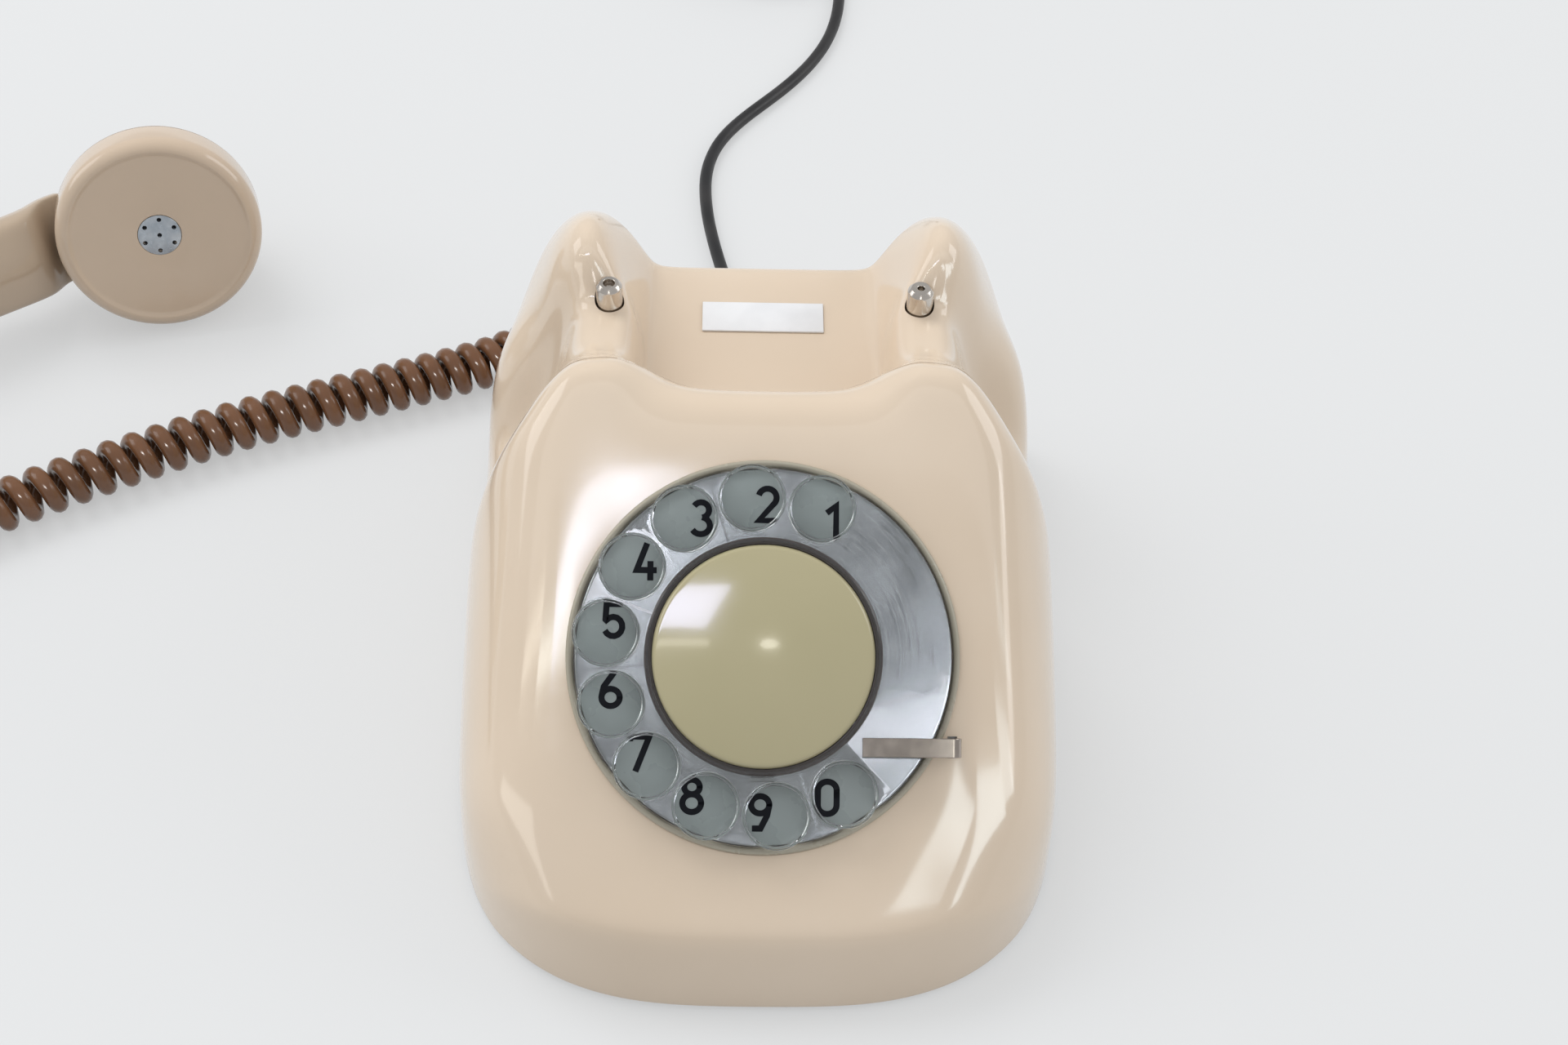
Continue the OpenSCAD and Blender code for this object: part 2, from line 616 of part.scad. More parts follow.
// ---------------------------------------------------------------- circuit
module circuit_board() {
    color(board_brown) translate([-44, -50, floor_z + 4]) cube([88, 52, 1.6]);
    color(steel) for (x = [-40, 40]) for (y = [-46, -2]) translate([x, y, floor_z]) cylinder(r = 2, h = 4, $fn = 24);
}
board_top = floor_z + 5.6;
module speech_transformer() {
    color(black) translate([-34, -26, board_top]) cube([22, 24, 17]);
    color(copper) translate([-31, -30, board_top + 2]) cube([16, 4, 13]);
}
module capacitor() {
    color(nickel) translate([14, -14, board_top + 7.4]) rotate([0, 90, 0]) cylinder(r = 7.4, h = 26, $fn = 48);
}
module terminal_block() {
    color(black) translate([-26, 3.5, floor_z]) cube([52, 7.5, 9]);
    color(brass) for (i = [0:5]) translate([-21 + i * 8.4, 7.2, floor_z + 9]) cylinder(r = 2, h = 1.2, $fn = 24);
}

// ---------------------------------------------------------------- cord outlets
module relief(r_root, r_tip, reach) {
    rotate([-90, 0, 0]) {
        translate([0, 0, -7]) cylinder(r = r_root, h = 8, $fn = 48);
        translate([0, 0, 1]) cylinder(r1 = r_root, r2 = r_tip, h = reach, $fn = 48);
        translate([0, 0, -7]) cylinder(r = r_root + 1.6, h = 2.6, $fn = 48);
    }
}
relief_reach = 14;
handset_relief_y = 83.2;
line_relief_y = 87.6;
line_reach = 20;
module handset_cord_relief() {
    color(cord_brown) translate([handset_exit_x, handset_relief_y, relief_z])
        relief(handset_root_r, curly_d / 2 + 0.5, relief_reach);
}
module line_cord_relief() {
    color(black) translate([line_exit_x, line_relief_y, relief_z])
        relief(line_root_r, line_d / 2 + 0.5, line_reach);
}

// ---------------------------------------------------------------- tubes and cords
// Direction of a path of points at point i
function along(p, i) = unit(p[min(len(p) - 1, i + 1)] - p[max(0, i - 1)]);
function carried(p, i, side) = unit(side - (side * along(p, i)) * along(p, i));
// Side vectors carried along the path without twist
function frames(p, i, side, out) = i == len(p) ? out
    : let (s = carried(p, i, side)) frames(p, i + 1, s, concat(out, [s]));
module tube(p, r, sides, first_side) {
    side_at = frames(p, 0, first_side, []);
    n = len(p);
    points = [for (i = [0:n - 1]) let (t = along(p, i), a = side_at[i], b = cross(t, a))
        for (k = [0:sides - 1]) p[i] + r * (cos(k * 360 / sides) * a + sin(k * 360 / sides) * b)];
    faces = concat(
        [for (i = [0:n - 2]) for (k = [0:sides - 1]) let (k2 = (k + 1) % sides)
            each [[i * sides + k, (i + 1) * sides + k2, (i + 1) * sides + k],
                  [i * sides + k, i * sides + k2, (i + 1) * sides + k2]]],
        [for (k = [1:sides - 2]) [0, k + 1, k]],
        [for (k = [1:sides - 2]) (n - 1) * sides * [1, 1, 1] + [0, k, k + 1]]);
    polyhedron(points = points, faces = faces, convexity = 20);
}
// Least distance between points of a path more than skip steps apart
function least_gap(p, skip, reach) = min([for (i = [0:len(p) - 1])
    for (j = [i + skip:min(len(p) - 1, i + reach)]) norm(p[i] - p[j])]);

lay_z = line_d / 2;
// Route of the line cord from its relief to the stored coil
line_start_y = line_relief_y + 1 + line_reach;
line_route = [[line_exit_x, line_start_y, relief_z], [-1, 112, 8.6], [-3, 119, 6], [-6, 127, 3.4],
    [-9, 136, lay_z], [-11.5, 147, lay_z], [-13.8, 159, lay_z], [-15, 171, lay_z],
    [-14.8, 182, lay_z], [-11.5, 194, lay_z], [-4, 205, lay_z], [6, 216, lay_z],
    [15, 228, lay_z], [22, 242, lay_z], [25.5, 258, lay_z], [25.8, 274, lay_z],
    [25.8, 292.5, lay_z]];
line_steps = 2;
module line_cord() {
    run = curve(line_route, line_steps);
    coil_start = line_route[len(line_route) - 1];
    path = concat([run[0], run[0] + [0, line_d, 0]], [for (i = [3:len(run) - 2]) run[i]],
        [coil_start - [0, line_d, 0], coil_start]);
    color(black) tube(path, line_d / 2, 8, [1, 0, 0]);
}
// The stored length: four layers that spiral in and out by turns
coil_pitch = 4.6;
coil_gap_z = line_d + 0.45;
coil_out_r = 25.8;
coil_in_r = coil_out_r - coil_pitch * layer_turns;
coil_at = [0, 296];
layer_count = 4;
block = layer_turns + 0.5;
coil_turns = layer_count * layer_turns + (layer_count - 1) * 0.5;
function coil_layer(t) = min(layer_count - 1, floor(t / block));
function coil_spot(t) = let (
        k = coil_layer(t), u = t - k * block, turning = min(u, layer_turns) / layer_turns,
        r = k % 2 == 0 ? mix(coil_out_r, coil_in_r, turning) : mix(coil_in_r, coil_out_r, turning),
        climb = max(0, u - layer_turns) / 0.5,
        z = lay_z + coil_gap_z * (k + (1 - cos(180 * climb)) / 2),
        a = 360 * t)
    [coil_at[0] + r * cos(a), coil_at[1] + r * sin(a), z];
coil_rings = 24;
// The tail that comes down from the coil to the plug
coil_tail = [[26.2, 303, 13.2], [28, 311, 11.5], [31, 319, 9.5], [34, 327, 7.6],
    [36, 335, 6.6], [36.5, 342, 6.5], [36.5, 346, 6.5]];
module line_cord_coil() {
    path = concat([line_route[len(line_route) - 1]],
        [for (i = [0:coil_rings * coil_turns]) coil_spot(i / coil_rings)], coil_tail);
    echo(least_gap_in_line_cord_coil = least_gap(path, 12, len(path)) - line_d);
    color(black) tube(path, line_d / 2, 6, [1, 0, 0]);
}
plug_at = [36.5, 346, 0];
module line_plug() {
    color(black) translate(plug_at) {
        translate([0, 0, 6.5]) rotate([-90, 0, 0]) cylinder(r1 = line_d / 2 + 0.6, r2 = 4, h = 9, $fn = 48);
        translate([-10, 9, 0]) cube([20, 24, 13]);
    }
}
module line_plug_pins() {
    color(brass) translate(plug_at) for (x = [-6, 6]) for (z = [4, 9])
        translate([x, 33, z]) rotate([-90, 0, 0]) cylinder(r = 1.2, h = 9, $fn = 24);
}

// Route of the middle of the curly cord, from the body to the handset
curl_r = (curl_od - curly_d) / 2;
curl_z = curl_od / 2;
curly_route = [[-38, 98.2, 9], [-38, 104, 8.6], [-39, 110, 8], [-45, 114, 7.4], [-54, 110, 7],
    [-62, 102, curl_z], [-74, 96, curl_z], [-90, 90, curl_z], [-106, 84, curl_z],
    [-122, 78, curl_z], [-138, 71.5, curl_z], [-154, 63.5, curl_z], [-170, 55, curl_z],
    [-186, 46, curl_z], [-202, 36.5, curl_z], [-220, 26, curl_z], [-240, 14, curl_z],
    [-262, 2, curl_z], [-286, -9, curl_z], [-310, -17, curl_z], [-332, -20, 7],
    [-348, -17, 9], [-356, -9, 13], [-353, 0, 18], [-344, 6.2, 21.6],
    [-336, 12, 22], [-327.6, 18.1, 22]];

// ---------------------------------------------------------------- handset
handset_turn = 36;
handset_lean = 70;
handset_at = [-220.8, 73.7, 28.55];
cap_lean = 21;
module in_handset() {
    translate(handset_at) rotate([0, 0, handset_turn]) rotate([handset_lean, 0, 0]) children();
}
// The frame of the ear end (side 1) or the mouth end (side -1)
module at_end(side) {
    in_handset() translate([side * cap_span / 2, 0, 0]) rotate([0, -side * cap_lean, 0]) children();
}
cap_depth = 11;
module handset_cap() {
    r = handset_cap_r;
    crest = r - 2.7;
    rotate_extrude($fn = 96) polygon(concat(
        [[0, -3], [0, -1.1], [crest - 9, -0.9], [crest - 1.4, -0.45], [crest - 0.4, 0]],
        [for (a = [75:-15:0]) [crest - 0.6 + 3.3 * cos(a), -3.6 + 3.6 * sin(a)]],
        [[r, -cap_depth], [r - 1.9, -cap_depth], [r - 1.9, -6], [r - 5, -3]]));
}
hole_count = 6;
grille_r = 5.6;
module cap_with_seat(side) {
    at_end(side) difference() {
        handset_cap();
        disc(grille_r, -1.9, 2);
        disc(grille_r - 0.9, -4, 2);
    }
}
module ear_cap() { color(beige) cap_with_seat(1); }
module mouth_cap() { color(beige) cap_with_seat(-1); }
module grille(side) {
    at_end(side) difference() {
        disc(grille_r - 0.05, -1.85, -1.0);
        disc(0.6, -3, 1);
        for (i = [0:hole_count - 1]) rotate(i * 360 / hole_count + 15) translate([4.3, 0, 0]) disc(0.6, -3, 1);
    }
}
module ear_grille() { color(foil) grille(1); }
module mouth_grille() { color(foil) grille(-1); }
cup_r = handset_cap_r - 0.1;
neck_r = handset_cap_r - 2;
// Half section of a cup from its neck, inside the cap, to its bottom
cup_outside = [[neck_r, -6.1], [neck_r, -cap_depth - 0.2], [cup_r, -cap_depth - 0.2], [25.4, -14],
    [22, -22], [19.6, -27], [16.4, -31.5], [12, -34.6], [6.5, -36.4], [0, -37]];
cup_inside = [[neck_r - 1.8, -6.1], [neck_r - 1.8, -14], [19.8, -21.4], [17.4, -26.2],
    [14.6, -30], [10.8, -32.6], [6, -34.2], [0, -34.6]];
module cup_frame(side) {
    translate([side * cap_span / 2, 0, 0]) rotate([0, -side * cap_lean, 0]) children();
}
module cup(side) {
    cup_frame(side) rotate_extrude($fn = 96)
        polygon(concat(cup_outside, [for (i = [len(cup_inside) - 1:-1:0]) cup_inside[i]]));
}
module cup_hollow(side) {
    cup_frame(side) rotate_extrude($fn = 96)
        polygon(concat([[0, 1]], [[neck_r - 1.8, 1]], cup_inside));
}
// Middle line of the handle, behind the cap faces, at a distance l from its middle
function handle_dip(l) = min(1, max(0, abs(l) - 50) / 8);
function handle_mid(l) = -24.5 + 2 * pow(abs(l) / 48, 2) - 3 * handle_dip(l);
// Section of the handle: a shallow ridge towards the palm, rounded sides and back
handle_section = [[0, 8], [6, 6.4], [10.6, 4.9], [12, 3.2], [12.3, 0.5], [11.8, -3], [9.6, -6.8],
    [5.6, -9.2], [0, -10], [-5.6, -9.2], [-9.6, -6.8], [-11.8, -3], [-12.3, 0.5], [-12, 3.2],
    [-10.6, 4.9], [-6, 6.4]];
module handle_loft() {
    stations = [-66, -62, -58, -54, -50, -42, -30, -15, 0, 15, 30, 42, 50, 54, 58, 62, 66];
    steps = len(stations) - 1;
    sides = len(handle_section);
    points = [for (l = stations) for (q = handle_section)
        [l, q[0], handle_mid(l) + q[1] * (q[1] > 0 ? 1 - 0.85 * handle_dip(l) : 1)]];
    faces = concat(
        [for (i = [0:steps - 1]) for (k = [0:sides - 1]) let (k2 = (k + 1) % sides)
            each [[i * sides + k, i * sides + k2, (i + 1) * sides + k],
                  [i * sides + k2, (i + 1) * sides + k2, (i + 1) * sides + k]]],
        [for (k = [1:sides - 2]) [0, k + 1, k]],
        [for (k = [1:sides - 2]) steps * sides * [1, 1, 1] + [0, k, k + 1]]);
    polyhedron(points = points, faces = faces, convexity = 4);
}
module handset_shell() {
    color(beige) in_handset() {
        difference() {
            handle_loft();
            for (side = [-1, 1]) cup_hollow(side);
        }
        for (side = [-1, 1]) difference() {
            cup(side);
            if (side < 0) mouth_cord_hole();
        }
    }
}
end_relief_at = [-107, 0, -19];
module mouth_cord_hole() {
    translate(end_relief_at) rotate([0, -90, 0]) translate([0, 0, -9]) cylinder(r = 3.45, h = 20, $fn = 48);
}
module handset_end_relief() {
    color(cord_brown) in_handset() translate(end_relief_at) rotate([0, -90, 0]) {
        translate([0, 0, -5]) cylinder(r = 3.4, h = 6, $fn = 48);
        translate([0, 0, 1]) cylinder(r1 = 3.4, r2 = curly_d / 2 + 0.4, h = 11, $fn = 48);
    }
}
module receiver_capsule() {
    color(nickel) at_end(1) {
        disc(20.5, -13.5, -3);
        disc(13, -18, -13.5);
    }
}
module transmitter_capsule() {
    color(steel) at_end(-1) {
        disc(20.5, -13, -3);
        disc(10, -20, -13);
    }
}

// ---------------------------------------------------------------- curly cord
// The middle line, evenly stepped, and the curls wound round it
middle = curve(curly_route, 6);
function run_lengths(p) = [for (i = 0, s = 0; i < len(p);
    i = i + 1, s = s + (i < len(p) ? norm(p[i] - p[i - 1]) : 0)) s];
middle_run = run_lengths(middle);
middle_length = middle_run[len(middle) - 1];
function spot(s, i) = i >= len(middle) - 2 || middle_run[i + 1] >= s
    ? mix(middle[i], middle[i + 1], (s - middle_run[i]) / (middle_run[i + 1] - middle_run[i]))
    : spot(s, i + 1);
function heading(s) = unit(spot(min(middle_length, s + 1.5), 0) - spot(max(0, s - 1.5), 0));
curly_lead = 24;
curly_end = 44;
curl_rings = 8;
steps_in_all = curls * curl_rings;
open_steps = 6;
// The first and last curl open out: their radius grows with the step k from the end
function curl_share(k) = min(1, k / open_steps, (steps_in_all - k) / open_steps);
function curl_point(k) = let (
        s = curl_s(k), t = heading(s), level = unit([t[1], -t[0], 0]), up = cross(level, t),
        r = curl_r * curl_share(k), a = k * 360 / curl_rings)
    spot(s, 0) + r * (cos(a) * up + sin(a) * level);
curl_run = middle_length - curly_lead - curly_end;
// Curls are close at the body and slightly drawn out towards the handset
opening = 7;
function curl_s(k) = let (u = k / steps_in_all, v = u * 0.83 + u * u * 0.17)
    curly_lead + (curl_run - 2 * opening) * v
    + opening * (1 - exp(-k / 3)) + opening * exp((k - steps_in_all) / 3);
curl_path = [for (k = [0:steps_in_all]) curl_point(k)];
curly_out = middle[0];
curly_in = middle[len(middle) - 1];
curly_path = concat([curly_out, curly_out + [0, curly_d, 0]],
    [for (i = [2:5]) spot(i * curly_lead / 6, 0)], curl_path,
    [for (i = [1:4]) spot(middle_length - curly_end + i * curly_end / 5, 0)],
    [curly_in - curly_d * [cos(handset_turn), sin(handset_turn), 0], curly_in]);
module curly_cord() {
    echo(least_gap_in_curly_cord = least_gap(curl_path, 5, 14) - curly_d);
    echo(middle_length = middle_length);
    color(cord_brown) tube(curly_path, curly_d / 2, 6, [0, 0, 1]);
}

base_plate();
rubber_feet();
base_screws();
front_cover();
rear_cover();
label_plate();
dial_ring();
number_plate();
dial_frame();
dial_pillars();
finger_stop();
pulse_contacts();
finger_wheel();
wheel_backing();
hub_ring();
centre_cap();
cap_latch();
dial_spindle();
main_gear();
pulse_cam();
worm_wheel();
governor();
plunger_left();
plunger_right();
plunger_guides();
hook_bracket();
hook_bail();
hook_contacts();
ringer_yoke();
ringer_coils();
gong_posts();
gong_left();
gong_right();
clapper();
circuit_board();
speech_transformer();
capacitor();
terminal_block();
line_cord_relief();
handset_cord_relief();
line_cord();
line_cord_coil();
line_plug();
line_plug_pins();
curly_cord();
handset_shell();
ear_cap();
mouth_cap();
ear_grille();
mouth_grille();
receiver_capsule();
transmitter_capsule();
handset_end_relief();
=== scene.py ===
"""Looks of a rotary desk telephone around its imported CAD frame.

Lengths in the tables are millimetres. The origin is on the desk, under the middle of the body.
"""

import json
import math

import bmesh
import bpy
from mathutils import Matrix, Vector


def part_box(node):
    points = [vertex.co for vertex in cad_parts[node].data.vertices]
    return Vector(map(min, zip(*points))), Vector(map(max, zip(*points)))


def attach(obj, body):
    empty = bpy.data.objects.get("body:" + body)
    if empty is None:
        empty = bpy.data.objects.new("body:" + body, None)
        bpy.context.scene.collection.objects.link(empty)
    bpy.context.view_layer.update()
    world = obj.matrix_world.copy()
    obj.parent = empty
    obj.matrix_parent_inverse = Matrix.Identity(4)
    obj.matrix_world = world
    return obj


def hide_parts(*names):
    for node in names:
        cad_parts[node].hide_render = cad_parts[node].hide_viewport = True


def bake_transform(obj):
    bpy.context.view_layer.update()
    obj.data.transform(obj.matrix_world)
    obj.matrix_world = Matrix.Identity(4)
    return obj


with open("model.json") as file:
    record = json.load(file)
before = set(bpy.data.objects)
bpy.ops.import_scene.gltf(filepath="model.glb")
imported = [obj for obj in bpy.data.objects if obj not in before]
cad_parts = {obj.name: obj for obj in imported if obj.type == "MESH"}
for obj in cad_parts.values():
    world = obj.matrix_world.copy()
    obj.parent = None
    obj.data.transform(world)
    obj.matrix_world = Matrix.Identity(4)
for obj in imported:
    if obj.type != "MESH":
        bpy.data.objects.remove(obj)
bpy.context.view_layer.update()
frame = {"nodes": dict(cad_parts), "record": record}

MM = 0.001
DIAL_AT, DIAL_TILT = (0, -38, 58), 37
HANDSET_AT, HANDSET_YAW, HANDSET_ROLL = (-220.8, 73.7, 28.55), 36, 70


def linked(name, data):
    """A new object in the scene."""
    obj = bpy.data.objects.new(name, data)
    bpy.context.scene.collection.objects.link(obj)
    return obj


def mesh_of(bm, name):
    """The bmesh as a mesh, which uses the bmesh up."""
    mesh = bpy.data.meshes.new(name)
    bm.to_mesh(mesh)
    bm.free()
    return mesh


# ---------- camera
CAMERA_AT = Vector((-10.14, -345.41, 459.40))
CAMERA_RIGHT = Vector((0.9995024, -0.0071888, 0.0307118))
CAMERA_DOWN = Vector((0.0145537, -0.7587303, -0.6512423))
CAMERA_AHEAD = Vector((0.0279836, 0.6513652, -0.7582481))
FOCAL_LENGTH, SENSOR_WIDTH = 54.94, 36
NEAREST, FARTHEST = 0.01, 20


def place_camera():
    """A long lens above the front of the desk."""
    lens = bpy.data.cameras.new("camera")
    camera = linked("camera", lens)
    lens.sensor_width = SENSOR_WIDTH
    lens.lens = FOCAL_LENGTH
    lens.clip_start = NEAREST
    lens.clip_end = FARTHEST
    turn = Matrix((CAMERA_RIGHT, -CAMERA_DOWN, -CAMERA_AHEAD)).transposed().to_4x4()
    camera.matrix_world = Matrix.Translation(CAMERA_AT * MM) @ turn
    bpy.context.scene.camera = camera


place_camera()


# ---------- curves and tables
LARGEST_EASE = 0.48


def blend4(a, b, c, d, t):
    """A cubic B-spline's point at share t of the way past b."""
    return (a * (1 - t) ** 3 + b * (3 * t ** 3 - 6 * t * t + 4)
            + c * (-3 * t ** 3 + 3 * t * t + 3 * t + 1) + d * t ** 3) / 6


def smooth_run(points, steps):
    """A smooth run near the points, with so many steps between neighbours."""
    p = [Vector(q) for q in points]
    p = [2 * p[0] - p[1]] + p + [2 * p[-1] - p[-2]]
    run = [blend4(*p[i:i + 4], k / steps) for i in range(len(p) - 3) for k in range(steps)]
    return run + [Vector(points[-1])]


def mix(a, b, t):
    """The value at share t of the way from a to b."""
    return a + (b - a) * t


def arc(cx, cy, rx, ry, start, end, count=12):
    """Points on part of an ellipse, between two angles in degrees."""
    turn = [math.radians(mix(start, end, i / count)) for i in range(count + 1)]
    return [(cx + rx * math.cos(a), cy + ry * math.sin(a)) for a in turn]


def eased(profile, radius, closed=True, count=4):
    """The profile with its corners rounded, by one radius or by one for each corner."""
    out = []
    n = len(profile)
    for i, corner in enumerate(profile):
        r = radius[i] if isinstance(radius, (list, tuple)) else radius
        here = Vector(corner)
        if r <= 0 or (not closed and i in (0, n - 1)):
            out.append(here)
            continue
        back = Vector(profile[i - 1]) - here
        on = Vector(profile[(i + 1) % n]) - here
        reach = min(r, back.length * LARGEST_EASE, on.length * LARGEST_EASE)
        a, b = here + back.normalized() * reach, here + on.normalized() * reach
        for k in range(count + 1):
            t = k / count
            out.append(a * (1 - t) ** 2 + here * 2 * t * (1 - t) + b * t * t)
    return out


# ---------- making pieces
def keep(name, bm, body, finish, replaces, slot, angle=38):
    """Makes the finished object of a bmesh in millimetres and hangs it on its body."""
    bmesh.ops.scale(bm, vec=(MM, MM, MM), verts=bm.verts)
    mesh = mesh_of(bm, name)
    obj = linked(name, mesh)
    mesh.materials.append(finish)
    mesh.shade_smooth()
    mesh.set_sharp_from_angle(angle=math.radians(angle))
    if replaces:
        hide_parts(*replaces)
    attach(obj, body)


def settled(bm, *changes):
    """The bmesh after modifiers: each change is (type, settings)."""
    mesh = mesh_of(bm, "draft")
    obj = linked("draft", mesh)
    for kind, settings in changes:
        change = obj.modifiers.new(kind, kind)
        for key, value in settings.items():
            setattr(change, key, value)
    bpy.context.view_layer.update()
    done = obj.evaluated_get(bpy.context.evaluated_depsgraph_get())
    out = bmesh.new()
    out.from_mesh(done.to_mesh())
    done.to_mesh_clear()
    bpy.data.objects.remove(obj)
    bpy.data.meshes.remove(mesh)
    return out


def broken_edges(width, segments, angle):
    """A bevel for `settled`, on the edges sharper than the angle in degrees."""
    return ("BEVEL", {"width": width, "segments": segments, "limit_method": "ANGLE",
                      "angle_limit": math.radians(angle)})


def combined(bm, operation, *tools):
    """The bmesh joined with, or cut by, the tools."""
    for tool in tools:
        mesh = mesh_of(tool, "tool")
        other = linked("tool", mesh)
        bm = settled(bm, ("BOOLEAN", {"operation": operation, "object": other, "solver": "EXACT"}))
        bpy.data.objects.remove(other)
        bpy.data.meshes.remove(mesh)
    return bm


def faced_out(bm):
    """The bmesh welded, without empty faces, and with its faces turned outward."""
    bmesh.ops.remove_doubles(bm, verts=bm.verts, dist=1e-4)
    bmesh.ops.dissolve_degenerate(bm, edges=bm.edges, dist=1e-5)
    bmesh.ops.recalc_face_normals(bm, faces=bm.faces)
    return bm


def turned(profile, steps, closed=True, at=None):
    """A piece turned about Z from (radius, height) points."""
    bm = bmesh.new()
    verts = [bm.verts.new((r, 0, z)) for r, z in profile]
    edges = [bm.edges.new(pair) for pair in zip(verts, verts[1:])]
    if closed:
        edges.append(bm.edges.new((verts[-1], verts[0])))
    bmesh.ops.spin(bm, geom=verts + edges, cent=(0, 0, 0), axis=(0, 0, 1), angle=2 * math.pi,
                   steps=steps, use_merge=True)
    faced_out(bm)
    return moved(bm, at) if at else bm


def plain(inner, outer, low, high):
    """A square half section between two radii and two heights."""
    return [(inner, low), (outer, low), (outer, high), (inner, high)]


def moved(bm, at):
    """The bmesh carried to a placement."""
    bmesh.ops.transform(bm, matrix=at, verts=bm.verts)
    return bm


def together(*parts):
    """Several bmeshes in one."""
    out = bmesh.new()
    for bm in parts:
        mesh = mesh_of(bm, "part")
        out.from_mesh(mesh)
        bpy.data.meshes.remove(mesh)
    return out


def block(low, high, ease):
    """A box between two corners with its edges broken."""
    bm = bmesh.new()
    bmesh.ops.create_cube(bm, size=1)
    low, high = Vector(low), Vector(high)
    for v in bm.verts:
        v.co = Vector(mix(low[i], high[i], v.co[i] + 0.5) for i in range(3))
    if ease:
        bmesh.ops.bevel(bm, geom=bm.edges, offset=ease, affect="EDGES", segments=2, profile=0.5,
                        material=-1)
    return bm


def grid(points):
    """A sheet through rows of points."""
    bm = bmesh.new()
    rows, cols = len(points), len(points[0])
    bmesh.ops.create_grid(bm, x_segments=cols - 1, y_segments=rows - 1, size=1)
    bm.verts.ensure_lookup_table()
    for i, v in enumerate(bm.verts):
        v.co = points[i // cols][i % cols]
    return bm


def matrix(*steps):
    """A placement from moves (a vector) and turns (degrees, axis)."""
    out = Matrix.Identity(4)
    for step in steps:
        if len(step) == 3:
            out = out @ Matrix.Translation(Vector(step))
        else:
            out = out @ Matrix.Rotation(math.radians(step[0]), 4, step[1])
    return out


# ---------- finishes
class Recipe:
    """A node tree that is built by short calls."""

    def __init__(self, name):
        self.material = bpy.data.materials.new(name)
        self.material.use_nodes = True
        self.tree = self.material.node_tree
        self.shader = self.tree.nodes["Principled BSDF"]

    def node(self, kind, **values):
        """A new shader node, with its own settings."""
        made = self.tree.nodes.new("ShaderNode" + kind)
        for key, value in values.items():
            setattr(made, key, value)
        return made

    def join(self, source, target):
        """A link between two sockets."""
        self.tree.links.new(source, target)

    def put(self, socket, value):
        """A value for one of the shader's sockets."""
        self.shader.inputs[socket].default_value = value

    def drive(self, socket, source):
        """A pattern for one of the shader's sockets."""
        self.join(source, self.shader.inputs[socket])

    def place(self, at=(0, 0, 0), tilt=0.0):
        """Object coordinates, seen from a piece's own centre and tilt."""
        coordinates = self.node("TexCoord")
        mapping = self.node("Mapping", vector_type="TEXTURE")
        mapping.inputs["Location"].default_value = [v * MM for v in at]
        mapping.inputs["Rotation"].default_value = (math.radians(tilt), 0, 0)
        self.join(coordinates.outputs["Object"], mapping.inputs["Vector"])
        return mapping.outputs["Vector"]

    def noise(self, where, scale, detail):
        """A cloudy pattern between 0 and 1."""
        made = self.node("TexNoise")
        made.inputs["Scale"].default_value = scale
        made.inputs["Detail"].default_value = detail
        self.join(where, made.inputs["Vector"])
        return made.outputs["Fac"]

    def mottle(self, where, socket, scale, detail, low, high):
        """A cloudy pattern between two values on one of the shader's sockets."""
        self.drive(socket, self.ramp(self.noise(where, scale, detail), low, high))

    def ramp(self, source, low, high, start=0.3, end=0.7):
        """Colours or greys between low and high as the source goes from start to end."""
        made = self.node("ValToRGB")
        stops = made.color_ramp.elements
        stops[0].position, stops[1].position = start, end
        for stop, value in zip(stops, (low, high)):
            stop.color = (*value, 1) if hasattr(value, "__len__") else (value, value, value, 1)
        self.join(source, made.inputs["Fac"])
        return made.outputs["Color"]

    def bump(self, source, strength, distance):
        """A fine relief from a pattern, with its depth in millimetres."""
        made = self.node("Bump")
        made.inputs["Strength"].default_value = strength
        made.inputs["Distance"].default_value = distance * MM
        self.join(source, made.inputs["Height"])
        self.drive("Normal", made.outputs["Normal"])


def moulded(name, dark, light, rough, coat=0.3, gloss=0.5):
    """Glossy moulded plastic with a slight mottle and a fine orange peel."""
    r = Recipe(name)
    where = r.place()
    r.mottle(where, "Base Color", 22, 4, dark, light)
    r.mottle(where, "Roughness", 88, 5, *rough)
    r.put("Coat Weight", coat)
    r.put("Coat Roughness", 0.06)
    r.put("IOR", 1.5)
    r.put("Specular IOR Level", gloss)
    r.bump(r.noise(where, 900, 2), 0.02, 0.2)
    return r.material


def metal(name, dark, light, rough, scale=60):
    """Plated or drawn metal with faint wipe marks."""
    r = Recipe(name)
    where = r.place()
    r.mottle(where, "Base Color", scale, 4, dark, light)
    r.mottle(where, "Roughness", scale * 3, 5, *rough)
    r.put("Metallic", 1.0)
    r.bump(r.noise(where, scale * 12, 2), 0.05, 0.05)
    return r.material


def rubbery(name, dark, light, rough=(0.35, 0.5)):
    """Flexible cord sheath or rubber with a soft surface."""
    r = Recipe(name)
    where = r.place()
    r.mottle(where, "Base Color", 80, 3, dark, light)
    r.mottle(where, "Roughness", 320, 4, *rough)
    r.bump(r.noise(where, 1500, 2), 0.05, 0.1)
    return r.material


def clear_acrylic():
    """Clear moulding with faint handling marks."""
    r = Recipe("clear_acrylic")
    where = r.place()
    r.put("Base Color", (0.94, 0.95, 0.94, 1))
    r.put("Transmission Weight", 1.0)
    r.put("IOR", 1.49)
    r.mottle(where, "Roughness", 180, 4, 0.02, 0.08)
    r.bump(r.noise(where, 240, 3), 0.02, 0.1)
    return r.material


